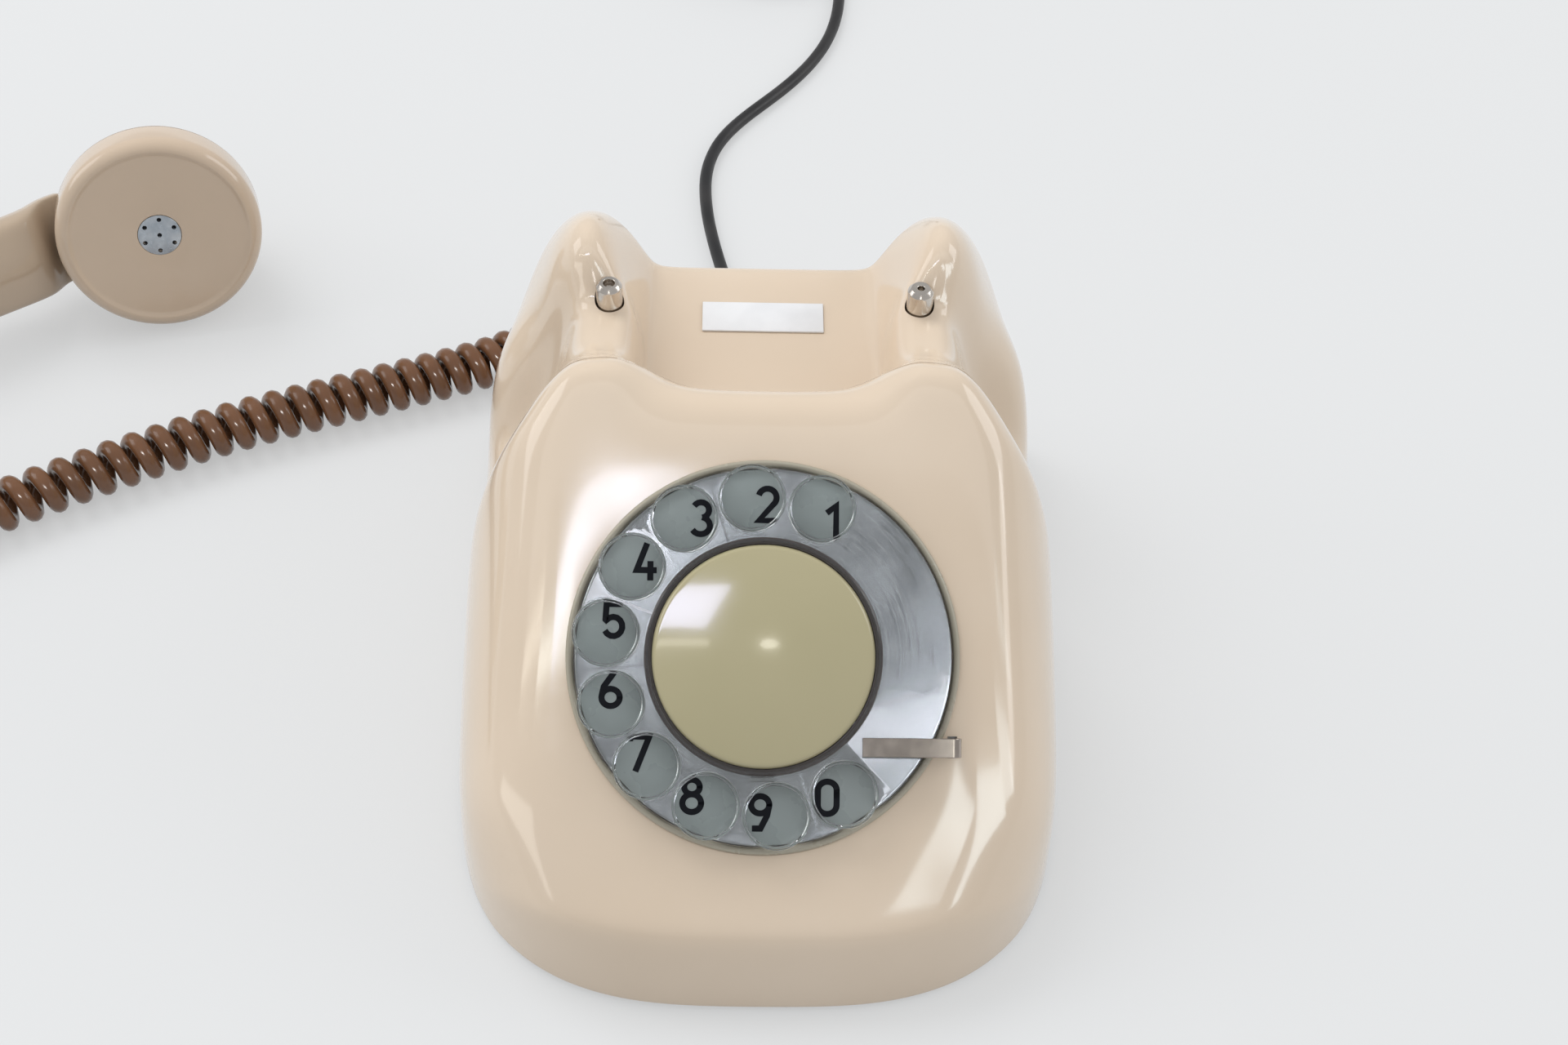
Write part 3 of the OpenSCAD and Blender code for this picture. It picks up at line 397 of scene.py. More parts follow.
def wheel_foil(at, tilt):
    """Metallised foil with fine arcs about the dial's middle."""
    r = Recipe("wheel_foil")
    where = r.place(at, tilt)
    flat = r.node("VectorMath", operation="MULTIPLY")
    flat.inputs[1].default_value = (1, 1, 0)
    r.join(where, flat.inputs[0])
    radius = r.node("VectorMath", operation="LENGTH")
    r.join(flat.outputs["Vector"], radius.inputs[0])
    arcs = r.node("TexNoise", noise_dimensions="1D")
    arcs.inputs["Scale"].default_value = 1700
    arcs.inputs["Detail"].default_value = 3
    r.join(radius.outputs["Value"], arcs.inputs["W"])
    cloud = r.noise(where, 90, 4)
    both = r.node("Math", operation="MULTIPLY_ADD")
    both.inputs[1].default_value = 0.85
    r.join(arcs.outputs["Fac"], both.inputs[0])
    r.join(cloud, both.inputs[2])
    r.drive("Base Color",
            r.ramp(both.outputs["Value"], (0.195, 0.205, 0.218), (0.335, 0.347, 0.36), 0.5, 1.3))
    r.put("Metallic", 1.0)
    r.drive("Roughness", r.ramp(cloud, 0.15, 0.22))
    r.bump(arcs.outputs["Fac"], 0.06, 0.1)
    return r.material


def blank_label():
    """Plain white card with nothing on it."""
    r = Recipe("blank_label")
    where = r.place()
    r.mottle(where, "Base Color", 120, 4, (0.72, 0.725, 0.735), (0.79, 0.795, 0.805))
    r.put("Roughness", 0.35)
    r.bump(r.noise(where, 1200, 3), 0.06, 0.05)
    return r.material


BEIGE = moulded("beige_shell", (0.665, 0.54, 0.41), (0.695, 0.57, 0.44), (0.08, 0.13), 0.35)
# The handset's moulding and its caps are the shell's beige made darker, the handle more than the
# caps: painted shade.
HANDSET_SHADED_BEIGE = moulded("handset_beige_painted_shade", (0.45, 0.35, 0.254), (0.49, 0.383, 0.282), (0.1, 0.16))
HANDSET_CAP = moulded("handset_cap_beige_painted_shade", (0.55, 0.432, 0.32), (0.60, 0.473, 0.355), (0.1, 0.16))
RING = moulded("olive_grey_ring", (0.325, 0.297, 0.228), (0.395, 0.362, 0.288), (0.2, 0.35))
CAP = moulded("olive_cream_cap", (0.40, 0.357, 0.21), (0.435, 0.385, 0.235), (0.1, 0.15), 0.4)
HUB = moulded("dark_hub_ring", (0.042, 0.035, 0.033), (0.075, 0.063, 0.06), (0.12, 0.25))
PLATE = moulded("pale_number_plate", (0.285, 0.33, 0.324), (0.342, 0.383, 0.377), (0.2, 0.35), 0.1)
INK = moulded("number_ink", (0.006, 0.007, 0.011), (0.012, 0.013, 0.018), (0.4, 0.55), 0.0, 0.15)
ACRYLIC = clear_acrylic()
FOIL = wheel_foil(DIAL_AT, DIAL_TILT)
# The finger stop's metal is darker and browner than the nickel of its slot: a painted reflection of
# the beige covers round it.
STOP_METAL_PAINTED_REFLECTION = metal("stop_metal_painted_beige_reflection", (0.34, 0.298, 0.262), (0.43, 0.378, 0.335), (0.14, 0.24), 180)
NICKEL = metal("bright_nickel", (0.56, 0.51, 0.46), (0.68, 0.63, 0.57), (0.12, 0.28), 220)
STEEL = metal("zinc_plated_steel", (0.40, 0.41, 0.42), (0.56, 0.56, 0.55), (0.3, 0.45))
BRASS = metal("machined_brass", (0.58, 0.42, 0.17), (0.70, 0.54, 0.26), (0.2, 0.35))
BRONZE = metal("spring_bronze", (0.40, 0.26, 0.12), (0.52, 0.36, 0.18), (0.25, 0.4))
TIN = metal("plain_can", (0.50, 0.50, 0.51), (0.63, 0.63, 0.63), (0.25, 0.4))
GRILLE = metal("grille_disc", (0.40, 0.45, 0.50), (0.58, 0.62, 0.66), (0.25, 0.4), 300)
COPPER = metal("copper_winding", (0.42, 0.16, 0.07), (0.55, 0.24, 0.11), (0.3, 0.45), 90)
BLACK = moulded("black_moulding", (0.010, 0.010, 0.011), (0.022, 0.021, 0.021), (0.25, 0.4))
BOARD = moulded("brown_laminate", (0.16, 0.08, 0.03), (0.24, 0.13, 0.05), (0.4, 0.55), 0.0)
RUBBER = rubbery("black_rubber", (0.012, 0.012, 0.012), (0.03, 0.03, 0.03), (0.5, 0.7))
BLACK_CORD = rubbery("black_cord", (0.012, 0.012, 0.013), (0.03, 0.028, 0.028))
BROWN_CORD = rubbery("brown_cord", (0.132, 0.06, 0.028), (0.17, 0.077, 0.036), (0.14, 0.22))
LABEL = blank_label()

FINISH = {
    "shell": BEIGE, "steel": STEEL, "rubber": RUBBER, "label": LABEL, "ring_plastic": RING,
    "number_grey": PLATE, "nickel": NICKEL, "bronze": BRONZE, "brass": BRASS,
    "clear": ACRYLIC, "foil": FOIL, "hub_brown": HUB, "cap_plastic": CAP,
    "black_plastic": BLACK, "copper": COPPER, "board": BOARD, "aluminium": TIN,
    "cord_black": BLACK_CORD, "cord_brown": BROWN_CORD, "grille_metal": GRILLE,
}


def finish_cad_nodes():
    """Gives the CAD pieces that stay the finish of their slot."""
    slots = {s["node"]: s["material_slot"] for s in frame["record"]["subparts"]}
    for node, obj in frame["nodes"].items():
        obj.data.materials.clear()
        obj.data.materials.append(FINISH[slots[node]])


finish_cad_nodes()


# ---------- cords
# Routes give the middle of the cord; the line cord lies on the desk and is coiled at its end.
ROUTE_STEPS = 6
LINE_D = 3.5
LAY_Z = LINE_D / 2
LINE_ROUTE = [
    (-1, 108.6, 9), (-1, 112, 8.6), (-3, 119, 6), (-6, 127, 3.4), (-9, 136, LAY_Z),
    (-11.5, 147, LAY_Z), (-13.8, 159, LAY_Z), (-15, 171, LAY_Z), (-14.8, 182, LAY_Z),
    (-11.5, 194, LAY_Z), (-4, 205, LAY_Z), (6, 216, LAY_Z), (15, 228, LAY_Z),
    (22, 242, LAY_Z), (25.5, 258, LAY_Z), (25.8, 274, LAY_Z), (25.8, 292.5, LAY_Z)]
COIL_TAIL = [
    (26.2, 303, 13.2), (28, 311, 11.5), (31, 319, 9.5), (34, 327, 7.6),
    (36, 335, 6.6), (36.5, 342, 6.5), (36.5, 346, 6.5)]
COIL_AT = (0, 296)
COIL_OUT, COIL_PITCH, COIL_STEPS = 25.8, 4.6, 40
LAYERS, LAYER_TURNS, LAYER_GAP, CLIMB = 4, 2.125, 0.45, 0.5
COIL_TURNS = LAYERS * LAYER_TURNS + (LAYERS - 1) * CLIMB


def coil_spot(t):
    """Where the coiled cord is after t turns: layers spiral in, then out, and climb between."""
    k = min(LAYERS - 1, int(t // (LAYER_TURNS + CLIMB)))
    u = t - k * (LAYER_TURNS + CLIMB)
    turning = min(u, LAYER_TURNS) / LAYER_TURNS
    inner = COIL_OUT - COIL_PITCH * LAYER_TURNS
    r = mix(COIL_OUT, inner, turning) if k % 2 == 0 else mix(inner, COIL_OUT, turning)
    climb = max(0.0, u - LAYER_TURNS) / CLIMB
    z = LAY_Z + (LINE_D + LAYER_GAP) * (k + (1 - math.cos(math.pi * climb)) / 2)
    a = 2 * math.pi * t
    return Vector((COIL_AT[0] + r * math.cos(a), COIL_AT[1] + r * math.sin(a), z))


def line_cord_points():
    """The line cord from the body through its coil to the plug."""
    free = smooth_run(LINE_ROUTE, ROUTE_STEPS)
    turns = [coil_spot(i / COIL_STEPS) for i in range(int(COIL_STEPS * COIL_TURNS) + 1)]
    tail = smooth_run([turns[-1], *COIL_TAIL], ROUTE_STEPS)
    return free + turns + tail[1:]


CURLY_D, CURL_OD, CURLS = 4.5, 13.4, 50
CURL_Z = CURL_OD / 2
CURL_STEPS, FINER_STEPS, LEAD_STEPS = 8, 5, 3
# Straight leads at the body and at the handset, and how the curls between them open out
BODY_LEAD, HANDSET_LEAD = 24, 44
OPENING, OPEN_STEPS, OPEN_EASE, LOOSER = 7, 6, 3, 0.17
HEADING_REACH = 1.5
CURLY_ROUTE = [
    (-38, 98.2, 9), (-38, 104, 8.6), (-39, 110, 8), (-45, 114, 7.4), (-54, 110, 7),
    (-62, 102, CURL_Z), (-74, 96, CURL_Z), (-90, 90, CURL_Z), (-106, 84, CURL_Z),
    (-122, 78, CURL_Z), (-138, 71.5, CURL_Z), (-154, 63.5, CURL_Z), (-170, 55, CURL_Z),
    (-186, 46, CURL_Z), (-202, 36.5, CURL_Z), (-220, 26, CURL_Z), (-240, 14, CURL_Z),
    (-262, 2, CURL_Z), (-286, -9, CURL_Z), (-310, -17, CURL_Z), (-332, -20, 7),
    (-348, -17, 9), (-356, -9, 13), (-353, 0, 18), (-344, 6.2, 21.6), (-336, 12, 22),
    (-327.6, 18.1, 22)]


def curly_cord_points():
    """The curls wound round the middle line, with straight leads at both ends."""
    middle = smooth_run(CURLY_ROUTE, ROUTE_STEPS)
    run = [0.0]
    for a, b in zip(middle, middle[1:]):
        run.append(run[-1] + (b - a).length)
    whole = run[-1]

    def spot(s):
        """The middle line's point at length s."""
        i = next((i for i in range(len(run) - 2) if run[i + 1] >= s), len(run) - 2)
        return middle[i].lerp(middle[i + 1], (s - run[i]) / (run[i + 1] - run[i]))

    def heading(s):
        """The middle line's direction at length s."""
        return (spot(min(whole, s + HEADING_REACH)) - spot(max(0, s - HEADING_REACH))).normalized()

    steps = CURLS * CURL_STEPS
    stretch = whole - BODY_LEAD - HANDSET_LEAD - 2 * OPENING
    curls = []
    for i in range(steps * FINER_STEPS + 1):
        k = i / FINER_STEPS
        u = k / steps
        s = (BODY_LEAD + stretch * (u * (1 - LOOSER) + u * u * LOOSER)
             + OPENING * (1 - math.exp(-k / OPEN_EASE))
             + OPENING * math.exp((k - steps) / OPEN_EASE))
        t = heading(s)
        level = Vector((t.y, -t.x, 0)).normalized()
        r = (CURL_OD - CURLY_D) / 2 * min(1, k / OPEN_STEPS, (steps - k) / OPEN_STEPS)
        a = 2 * math.pi * k / CURL_STEPS
        curls.append(spot(s) + r * (math.cos(a) * level.cross(t) + math.sin(a) * level))
    out_of_body = [middle[0], middle[0] + Vector((0, CURLY_D, 0))]
    out_of_body += [spot(i * BODY_LEAD / 6) for i in range(2, 6)]
    yaw = math.radians(HANDSET_YAW)
    last = Vector((math.cos(yaw), math.sin(yaw), 0)) * CURLY_D
    into_handset = [spot(whole - HANDSET_LEAD + i * HANDSET_LEAD / 5) for i in range(1, 5)]
    into_handset += [middle[-1] - last, middle[-1]]
    return (fine_steps(out_of_body + curls[:1])[:-1] + curls
            + fine_steps(curls[-1:] + into_handset[:-1])[1:] + into_handset[-1:])


def fine_steps(points):
    """Finer steps along a straight lead."""
    out = [a.lerp(b, k / LEAD_STEPS) for a, b in zip(points, points[1:]) for k in range(LEAD_STEPS)]
    return out + points[-1:]


def meshed(curve):
    """The curve's tube as a mesh, under the same name."""
    bpy.context.view_layer.update()
    done = curve.evaluated_get(bpy.context.evaluated_depsgraph_get())
    mesh = bpy.data.meshes.new_from_object(done)
    mesh.shade_smooth()
    name = curve.name
    bpy.data.objects.remove(curve)
    return linked(name, mesh)


def cord_tube(name, points, width, finish):
    """A round cord through the points."""
    data = bpy.data.curves.new(name, "CURVE")
    data.dimensions = "3D"
    line = data.splines.new("POLY")
    line.points.add(len(points) - 1)
    for p, q in zip(line.points, points):
        p.co = (*(q * MM), 1)
    data.bevel_depth = width / 2 * MM
    data.bevel_resolution = 4
    data.use_fill_caps = True
    data.materials.append(finish)
    return linked(name, data)


def make_cords():
    """The line cord, and the curly cord that reaches from the body to the handset."""
    line = line_cord_points()
    lead = cord_tube("line_cord_lead", line, LINE_D, BLACK_CORD)
    lead.visible_glossy = False
    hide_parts("line_cord", "line_cord_coil")
    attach(lead, "body")
    curly = curly_cord_points()
    spring = meshed(cord_tube("curly_handset_cord", curly, CURLY_D, BROWN_CORD))
    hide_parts("curly_cord")
    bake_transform(spring)


make_cords()


# ---------- moulded covers
# Plan: half the width and the length, where the front and back curves start, and how square
# their corners are
HALF_W, HALF_L, FRONT_Y, BACK_Y, SKIRT_Z = 68.5, 89, -15, 60, 1.6
FRONT_REACH = HALF_L + FRONT_Y + 0.5
FRONT_POWER, BACK_POWER = 3.05, 3
SEAM_Y, SEAM_GAP, WALL, RIM_EASE = 16, 0.25, 2.2, 0.4
# Half sections of the rear cover, (x, z) from the middle to the skirt
SEAM = [(0, 81.7), (11, 81.9), (19, 83.6), (25.5, 88.6), (31.5, 92.4), (37, 92),
        (43, 90.8), (49.5, 80), (57, 63), (64.5, 44), (68.3, 20), (68.3, SKIRT_Z)]
TROUGH = [(0, 61.5), (13, 61.5), (25, 61.5), (28, 61.3), (29.6, 79.3), (36, 77.8),
          (43.2, 79.3), (47.2, 58), (52, 41), (60, 32), (66.6, 27), (68, SKIRT_Z)]
HORNS = [(0, 61.5), (13, 61.5), (24, 61.5), (27.5, 63), (33.5, 81.2), (38.2, 91.2),
         (44.2, 89.6), (49.6, 80), (54.2, 61.5), (64.6, 48), (67.4, 20), (67.8, SKIRT_Z)]
BEHIND = [(0, 61.5), (13, 61.5), (24, 61.5), (27, 63), (31, 72), (37, 79.4),
          (44, 80), (51.5, 71), (57.5, 53.5), (62.5, 36), (66, 16), (66.5, SKIRT_Z)]
# Rows of the front cover: y at the middle, y at the side, height at the middle. The first seven
# follow the curved front, and the last one stands under the crown.
FRONT_ROWS = [(-89, -70, SKIRT_Z), (-88.3, -68.6, 9), (-86.9, -66.6, 17.5),
              (-85.2, -64, 22.8), (-81, -60, 25.8), (-64, -52, 38.4), (-40, -37, 56.5),
              (-20, -20, 71.6), (-5, -4, 82.9), (4, 4, 89.3), (11.5, 11, 90.5)]
CURVED_ROWS, CROWN_ROW = 7, 10
CROWN_Y, CROWN_RISE, CROWN_COLS = 11.5, 2.5, 8
SKIRT_ROWS_Y, FACE_SLACK = -80, 4
# Columns of the front cover: share of the half width, and share of the height there
ACROSS = [0, 0.16, 0.28, 0.375, 0.46, 0.55, 0.66, 0.77, 0.875, 0.955, 0.99, 1]
SHOULDER = [1, 1, 1, 1, 1, 1, 0.99, 0.935, 0.80, 0.56, 0.25, 0]
COLS = len(ACROSS)
# Rows of the rear cover: section, next section, share between them, y
REAR_ROWS = [(SEAM, SEAM, 0, SEAM_Y + SEAM_GAP), (SEAM, TROUGH, 0.20, 20),
             (SEAM, TROUGH, 0.72, 26), (TROUGH, TROUGH, 0, 33), (TROUGH, HORNS, 0.02, 41),
             (TROUGH, HORNS, -0.08, 47.5), (TROUGH, HORNS, 0.82, 53.5), (HORNS, HORNS, 0, 61.5),
             (HORNS, BEHIND, 0.45, 70), (BEHIND, BEHIND, 0, 77)]
# Rows down the back: y at the middle, share of the height, share of the curve
BACK_ROWS = [(81, 0.955, 0.1), (85.6, 0.55, 0.5), (88, 0.22, 0.85), (89, 0, 1)]
BACK_NARROWS, BACK_HOLDS = 0.1, 9


def face_z(y):
    """Height of the sloping dial face."""
    return DIAL_AT[2] + (y - DIAL_AT[1]) * math.tan(math.radians(DIAL_TILT))


def bow(x, w, depth, n):
    """How far a curve with squarish corners stands out at x."""
    return depth * max(0.0, 1 - (abs(x) / w) ** n) ** (1 / n)


def front_point(i, c, curved=True):
    """A cage point of the front cover; the other rows run straight across."""
    centre_y, side_y, height = FRONT_ROWS[i]
    x = ACROSS[c] * bow(max(0, FRONT_Y - side_y), FRONT_REACH, HALF_W, FRONT_POWER)
    if curved:
        y = FRONT_Y - bow(x, HALF_W, FRONT_REACH, FRONT_POWER)
        y += (centre_y + HALF_L) * (1 - ACROSS[c] ** 3)
        top = height if centre_y < SKIRT_ROWS_Y else min(face_z(y), height + FACE_SLACK)
    else:
        y = centre_y
        top = min(face_z(y), height)
    return (x, y, SKIRT_Z + (top - SKIRT_Z) * SHOULDER[c])


def crown_point(c):
    """A cage point of the crown, which stands a little above the seam behind it."""
    x, _, z = front_point(CROWN_ROW, c)
    seam_x, seam_z = SEAM[c]
    rise = CROWN_RISE if c < CROWN_COLS else 0
    return ((x + seam_x) / 2, CROWN_Y, max((seam_z + z) / 2, seam_z + rise))


def front_cage():
    """Rows of points from the front skirt up the dial face to the seam."""
    rows = [[front_point(i, c, i < CURVED_ROWS) for c in range(COLS)] for i in range(CROWN_ROW)]
    rows.append([crown_point(c) for c in range(COLS)])
    rows.append([(x, SEAM_Y, z) for x, z in SEAM])
    return rows


def rear_cage():
    """Rows of points from the seam over the trough and the horns down the back."""
    rows = [[(mix(p[0], q[0], t), y, mix(p[1], q[1], t)) for p, q in zip(a, b)]
            for a, b, t, y in REAR_ROWS]
    for centre_y, share, narrow in BACK_ROWS:
        row = []
        for c, (bx, bz) in enumerate(BEHIND):
            x = bx * (1 - BACK_NARROWS * narrow)
            droop = HALF_L - (BACK_Y + bow(x, HALF_W - 3, HALF_L - BACK_Y, BACK_POWER))
            z = SKIRT_Z + (bz - SKIRT_Z) * share
            z = mix(SKIRT_Z, z, min(1, share * BACK_HOLDS)) if c < COLS - 1 else SKIRT_Z
            row.append((x, centre_y - droop * narrow, z))
        rows.append(row)
    return rows


INSIDE_DROP = 30


def cover(cage, cutters):
    """A moulded cover: a smooth skin over both sides of the cage, with a wall and broken rims."""
    bm = grid([[(-x, y, z) for x, y, z in reversed(row[1:])] + row for row in cage])
    inside = sum((v.co for v in bm.verts), Vector()) / len(bm.verts) - Vector((0, 0, INSIDE_DROP))
    if sum(f.normal.dot(f.calc_center_median() - inside) for f in bm.faces) < 0:
        bmesh.ops.reverse_faces(bm, faces=bm.faces)
    bm.normal_update()
    bm = settled(
        bm,
        ("SUBSURF", {"levels": 3, "render_levels": 3, "boundary_smooth": "PRESERVE_CORNERS"}),
        ("SOLIDIFY", {"thickness": WALL, "offset": -1, "use_even_offset": False}),
        broken_edges(RIM_EASE, 3, 55))
    return combined(bm, "DIFFERENCE", *cutters)


ON_DIAL = matrix(DIAL_AT, (DIAL_TILT, "X"))
OPENING_R, RING_R, RING_SLACK = 40, 41.6, 0.15
STOP_Y, STOP_W, STOP_LEG, STOP_SLACK = -18.6, 4, 39.95, 0.3
PLUNGER_X, PLUNGER_Y, PLUNGER_R, BUSH_R = 35.3, 47.4, 3, 3.9
BUSH_SEAT = [(0, 57), (BUSH_R + 0.05, 57), (BUSH_R + 0.05, 75), (PLUNGER_R + 0.35, 75),
             (PLUNGER_R + 0.35, 100), (0, 100)]
# Where the cords leave the back: x, and the radius of the hole for the sleeve
RELIEF_Z, CORD_HOLES = 9, ((-38, 4.25), (-1, 3.75))


def keep_on_dial(name, bm, *rest):
    """Keeps a piece that was made about the dial's middle."""
    keep(name, moved(bm, ON_DIAL), *rest)


def plunger_place(side):
    """Placement of the left (-1) or right (1) plunger's axis."""
    return matrix((side * PLUNGER_X, PLUNGER_Y, 0))


def rod_between(radius, low, high, at):
    """A plain rod for cutting holes."""
    return turned(plain(0, radius, low, high), 96, False, at)


def make_covers():
    """The two shells, with the dial's opening, the bushes' seats and the cords' holes."""
    seat_r = RING_R + RING_SLACK
    dial_cutter = turned([(0, -9), (OPENING_R, -9), (OPENING_R, 0), (seat_r, 0), (seat_r, 9),
                          (0, 9)], 160, False, ON_DIAL)
    half_slot = STOP_W / 2 + STOP_SLACK
    slot = moved(block((STOP_LEG - 0.8, STOP_Y - half_slot, -6),
                       (STOP_LEG + 1.2, STOP_Y + half_slot, 6), 0), ON_DIAL)
    keep("front_housing", cover(front_cage(), [dial_cutter, slot]), "body", BEIGE,
         ["front_cover"], "shell")
    cutters = [turned(BUSH_SEAT, 96, False, plunger_place(side)) for side in (-1, 1)]
    cutters += [rod_between(r, 0, 40, matrix((x, 75, RELIEF_Z), (-90, "X")))
                for x, r in CORD_HOLES]
    keep("rear_housing", cover(rear_cage(), cutters), "body", BEIGE, ["rear_cover"], "shell")


make_covers()


# ---------- dial
# Heights are above the dial face. The first finger hole and the pitch are in degrees.
FINGER_R, COLLAR_R, WHEEL_R, HOLE_CIRCLE = 6.4, 7.1, 39.5, 33.4
WHEEL_Z, WHEEL_T, CAP_R, HUB_R = 2.5, 1.7, 23.4, 10.8
FIRST_HOLE, HOLE_PITCH, HOLES = 69, 25.8, 10
WHEEL_TOP = WHEEL_Z + WHEEL_T
COLLAR_LOW, COLLAR_HIGH = WHEEL_Z - 0.4, WHEEL_TOP + 1.1
FOIL_LOW, FOIL_HIGH, FOIL_R = WHEEL_Z - 0.35, WHEEL_Z - 0.02, WHEEL_R - 0.1


def hole_places():
    """Placements of the finger holes on the wheel."""
    return [matrix((FIRST_HOLE + i * HOLE_PITCH, "Z"), (HOLE_CIRCLE, 0, 0))
            for i in range(HOLES)]


def make_finger_wheel():
    """The clear wheel with a raised collar round each hole, and the foil behind it."""
    disc = plain(HUB_R + 0.1, WHEEL_R, WHEEL_Z, WHEEL_TOP)
    disc = turned(eased(disc, [0, 0.15, 0.5, 0]), 160)
    collar = eased(plain(0, COLLAR_R, COLLAR_LOW, COLLAR_HIGH), [0, 0.25, 0.35, 0])
    collars = [turned(collar, 64, True, at) for at in hole_places()]
    bore = [(0, 0), (FINGER_R, 0), (FINGER_R, COLLAR_HIGH - 0.3),
            (FINGER_R + 0.12, COLLAR_HIGH - 0.1), (FINGER_R + 0.4, COLLAR_HIGH + 0.1),
            (0, COLLAR_HIGH + 3)]
    bores = [turned(bore, 64, False, at) for at in hole_places()]
    wheel = combined(combined(disc, "UNION", *collars), "DIFFERENCE", *bores)
    keep_on_dial("clear_finger_wheel", wheel, "dial", ACRYLIC, ["finger_wheel"], "clear", 30)
    back = turned(plain(HUB_R + 0.3, FOIL_R, FOIL_LOW, FOIL_HIGH), 160)
    gap = plain(0, COLLAR_R + 0.1, 0, 9)
    gaps = [turned(gap, 64, False, at) for at in hole_places()]
    back = combined(back, "DIFFERENCE", *gaps)
    keep_on_dial("metallised_back", back, "dial", FOIL, ["wheel_backing"], "foil")


CAP_RISE, CAP_LIP, DOME_STEPS, DOME_SHARE = 2.6, 2.2, 24, 0.975


def make_dial_centre():
    """The domed cap, its dark ring and clear bezel, and the tab at its lower edge."""
    dome = (CAP_R ** 2 + CAP_RISE ** 2) / (2 * CAP_RISE)
    crest = WHEEL_TOP + CAP_LIP + CAP_RISE
    profile = [(0, WHEEL_TOP), (CAP_R - 0.2, WHEEL_TOP), (CAP_R, WHEEL_TOP + 0.3),
               (CAP_R, WHEEL_TOP + CAP_LIP - 0.7)]
    edge = math.asin(CAP_R * DOME_SHARE / dome)
    for i in range(DOME_STEPS + 1):
        a = edge * (1 - i / DOME_STEPS)
        profile.append((dome * math.sin(a), crest - dome * (1 - math.cos(a))))
    ease = [0, 0.2, 0.2, 0.9, 1.2] + [0] * DOME_STEPS
    cap = turned(eased(profile, ease, False), 160, False)
    keep_on_dial("centre_cap_dome", cap, "dial", CAP, ["centre_cap"], "cap_plastic", 50)
    ring = turned(eased([(CAP_R + 0.1, WHEEL_TOP), (CAP_R + 1.7, WHEEL_TOP),
                         (CAP_R + 1.55, WHEEL_TOP + 1.3), (CAP_R + 0.9, WHEEL_TOP + 1.6),
                         (CAP_R + 0.1, WHEEL_TOP + 1.3)], [0, 0.1, 0.3, 0.2, 0.1]), 160)
    disc = turned(plain(0, HUB_R, WHEEL_Z, WHEEL_TOP), 64, False)
    hub = together(ring, disc)
    keep_on_dial("hub_retaining_ring", hub, "dial", HUB, ["hub_ring"], "hub_brown")
    bezel = turned(eased([(CAP_R + 0.45, WHEEL_TOP + 1.2), (CAP_R + 1.25, WHEEL_TOP + 1.2),
                          (CAP_R + 1.1, WHEEL_TOP + 2.1), (CAP_R + 0.6, WHEEL_TOP + 2.1)],
                         [0, 0.1, 0.2, 0.2]), 160)
    keep_on_dial("cap_bezel", bezel, "dial", ACRYLIC, (), "clear")
    latch = block((-2.6, -CAP_R - 2.7, WHEEL_TOP), (2.6, -CAP_R - 1.72, WHEEL_TOP + 1.9), 0.2)
    keep_on_dial("cap_latch_tab", latch, "dial", ACRYLIC, ["cap_latch"], "clear")


# Strokes of each figure about its middle, in a box 7 high
STROKE_BOX = 7
STROKES = {
    "0": [arc(0, 1.4, 1.75, 1.6, 0, 180) + arc(0, -1.4, 1.75, 1.6, 180, 360) + [(1.75, 1.4)]],
    "1": [[(-1.15, 1.75), (0.62, 3.1), (0.62, -3.5)]],
    "2": [arc(0, 1.3, 1.7, 1.7, 165, -30) + [(-1.55, -3), (2.15, -3)]],
    "3": [arc(0.05, 1.55, 1.5, 1.45, 150, -80), arc(0, -1.4, 1.75, 1.6, 82, -150)],
    "4": [[(0.35, 3.5), (-1.55, -1.55), (2.2, -1.55)], [(1.0, 0.15), (1.0, -3.5)]],
    "5": [[(1.7, 3), (-1.3, 3), (-1.45, 0.1)] + arc(0, -1.2, 1.7, 1.8, 140, -155)],
    "6": [arc(0, -1.4, 1.7, 1.6, 0, 360, 24), [(-1.66, -1.1), (-1.3, 0.6), (0.75, 3.5)]],
    "7": [[(-1.8, 2.1), (-1.8, 3), (1.75, 3), (-0.75, -3.5)]],
    "8": [arc(0, 1.65, 1.45, 1.35, 0, 360, 24), arc(0, -1.35, 1.75, 1.65, 0, 360, 24)],
    "9": [arc(0, 1.4, 1.7, 1.6, 0, 360, 24), [(1.66, 1.1), (1.3, -0.6), (0.1, -3.0), (-1.5, -3.0)]],
}
# The middle of each figure on the dial face
DIGIT_AT = {
    "1": (14.4, 28.6), "2": (0.5, 32.2), "3": (-13.6, 29.1), "4": (-25.2, 19.7),
    "5": (-31.7, 7.3), "6": (-32.0, -7.4), "7": (-25.7, -20.5), "8": (-14.6, -29.4),
    "9": (-0.2, -32.7), "0": (13.9, -29.5)}
DIGIT_H, STROKE_W, INK_T, OVERLAP_STEP = 7.9, 1.3, 0.04, 0.012
PLATE_Z, PLATE_R, PLATE_HOLE_R, RIM_R = -0.2, OPENING_R - 0.35, 8, 37.4


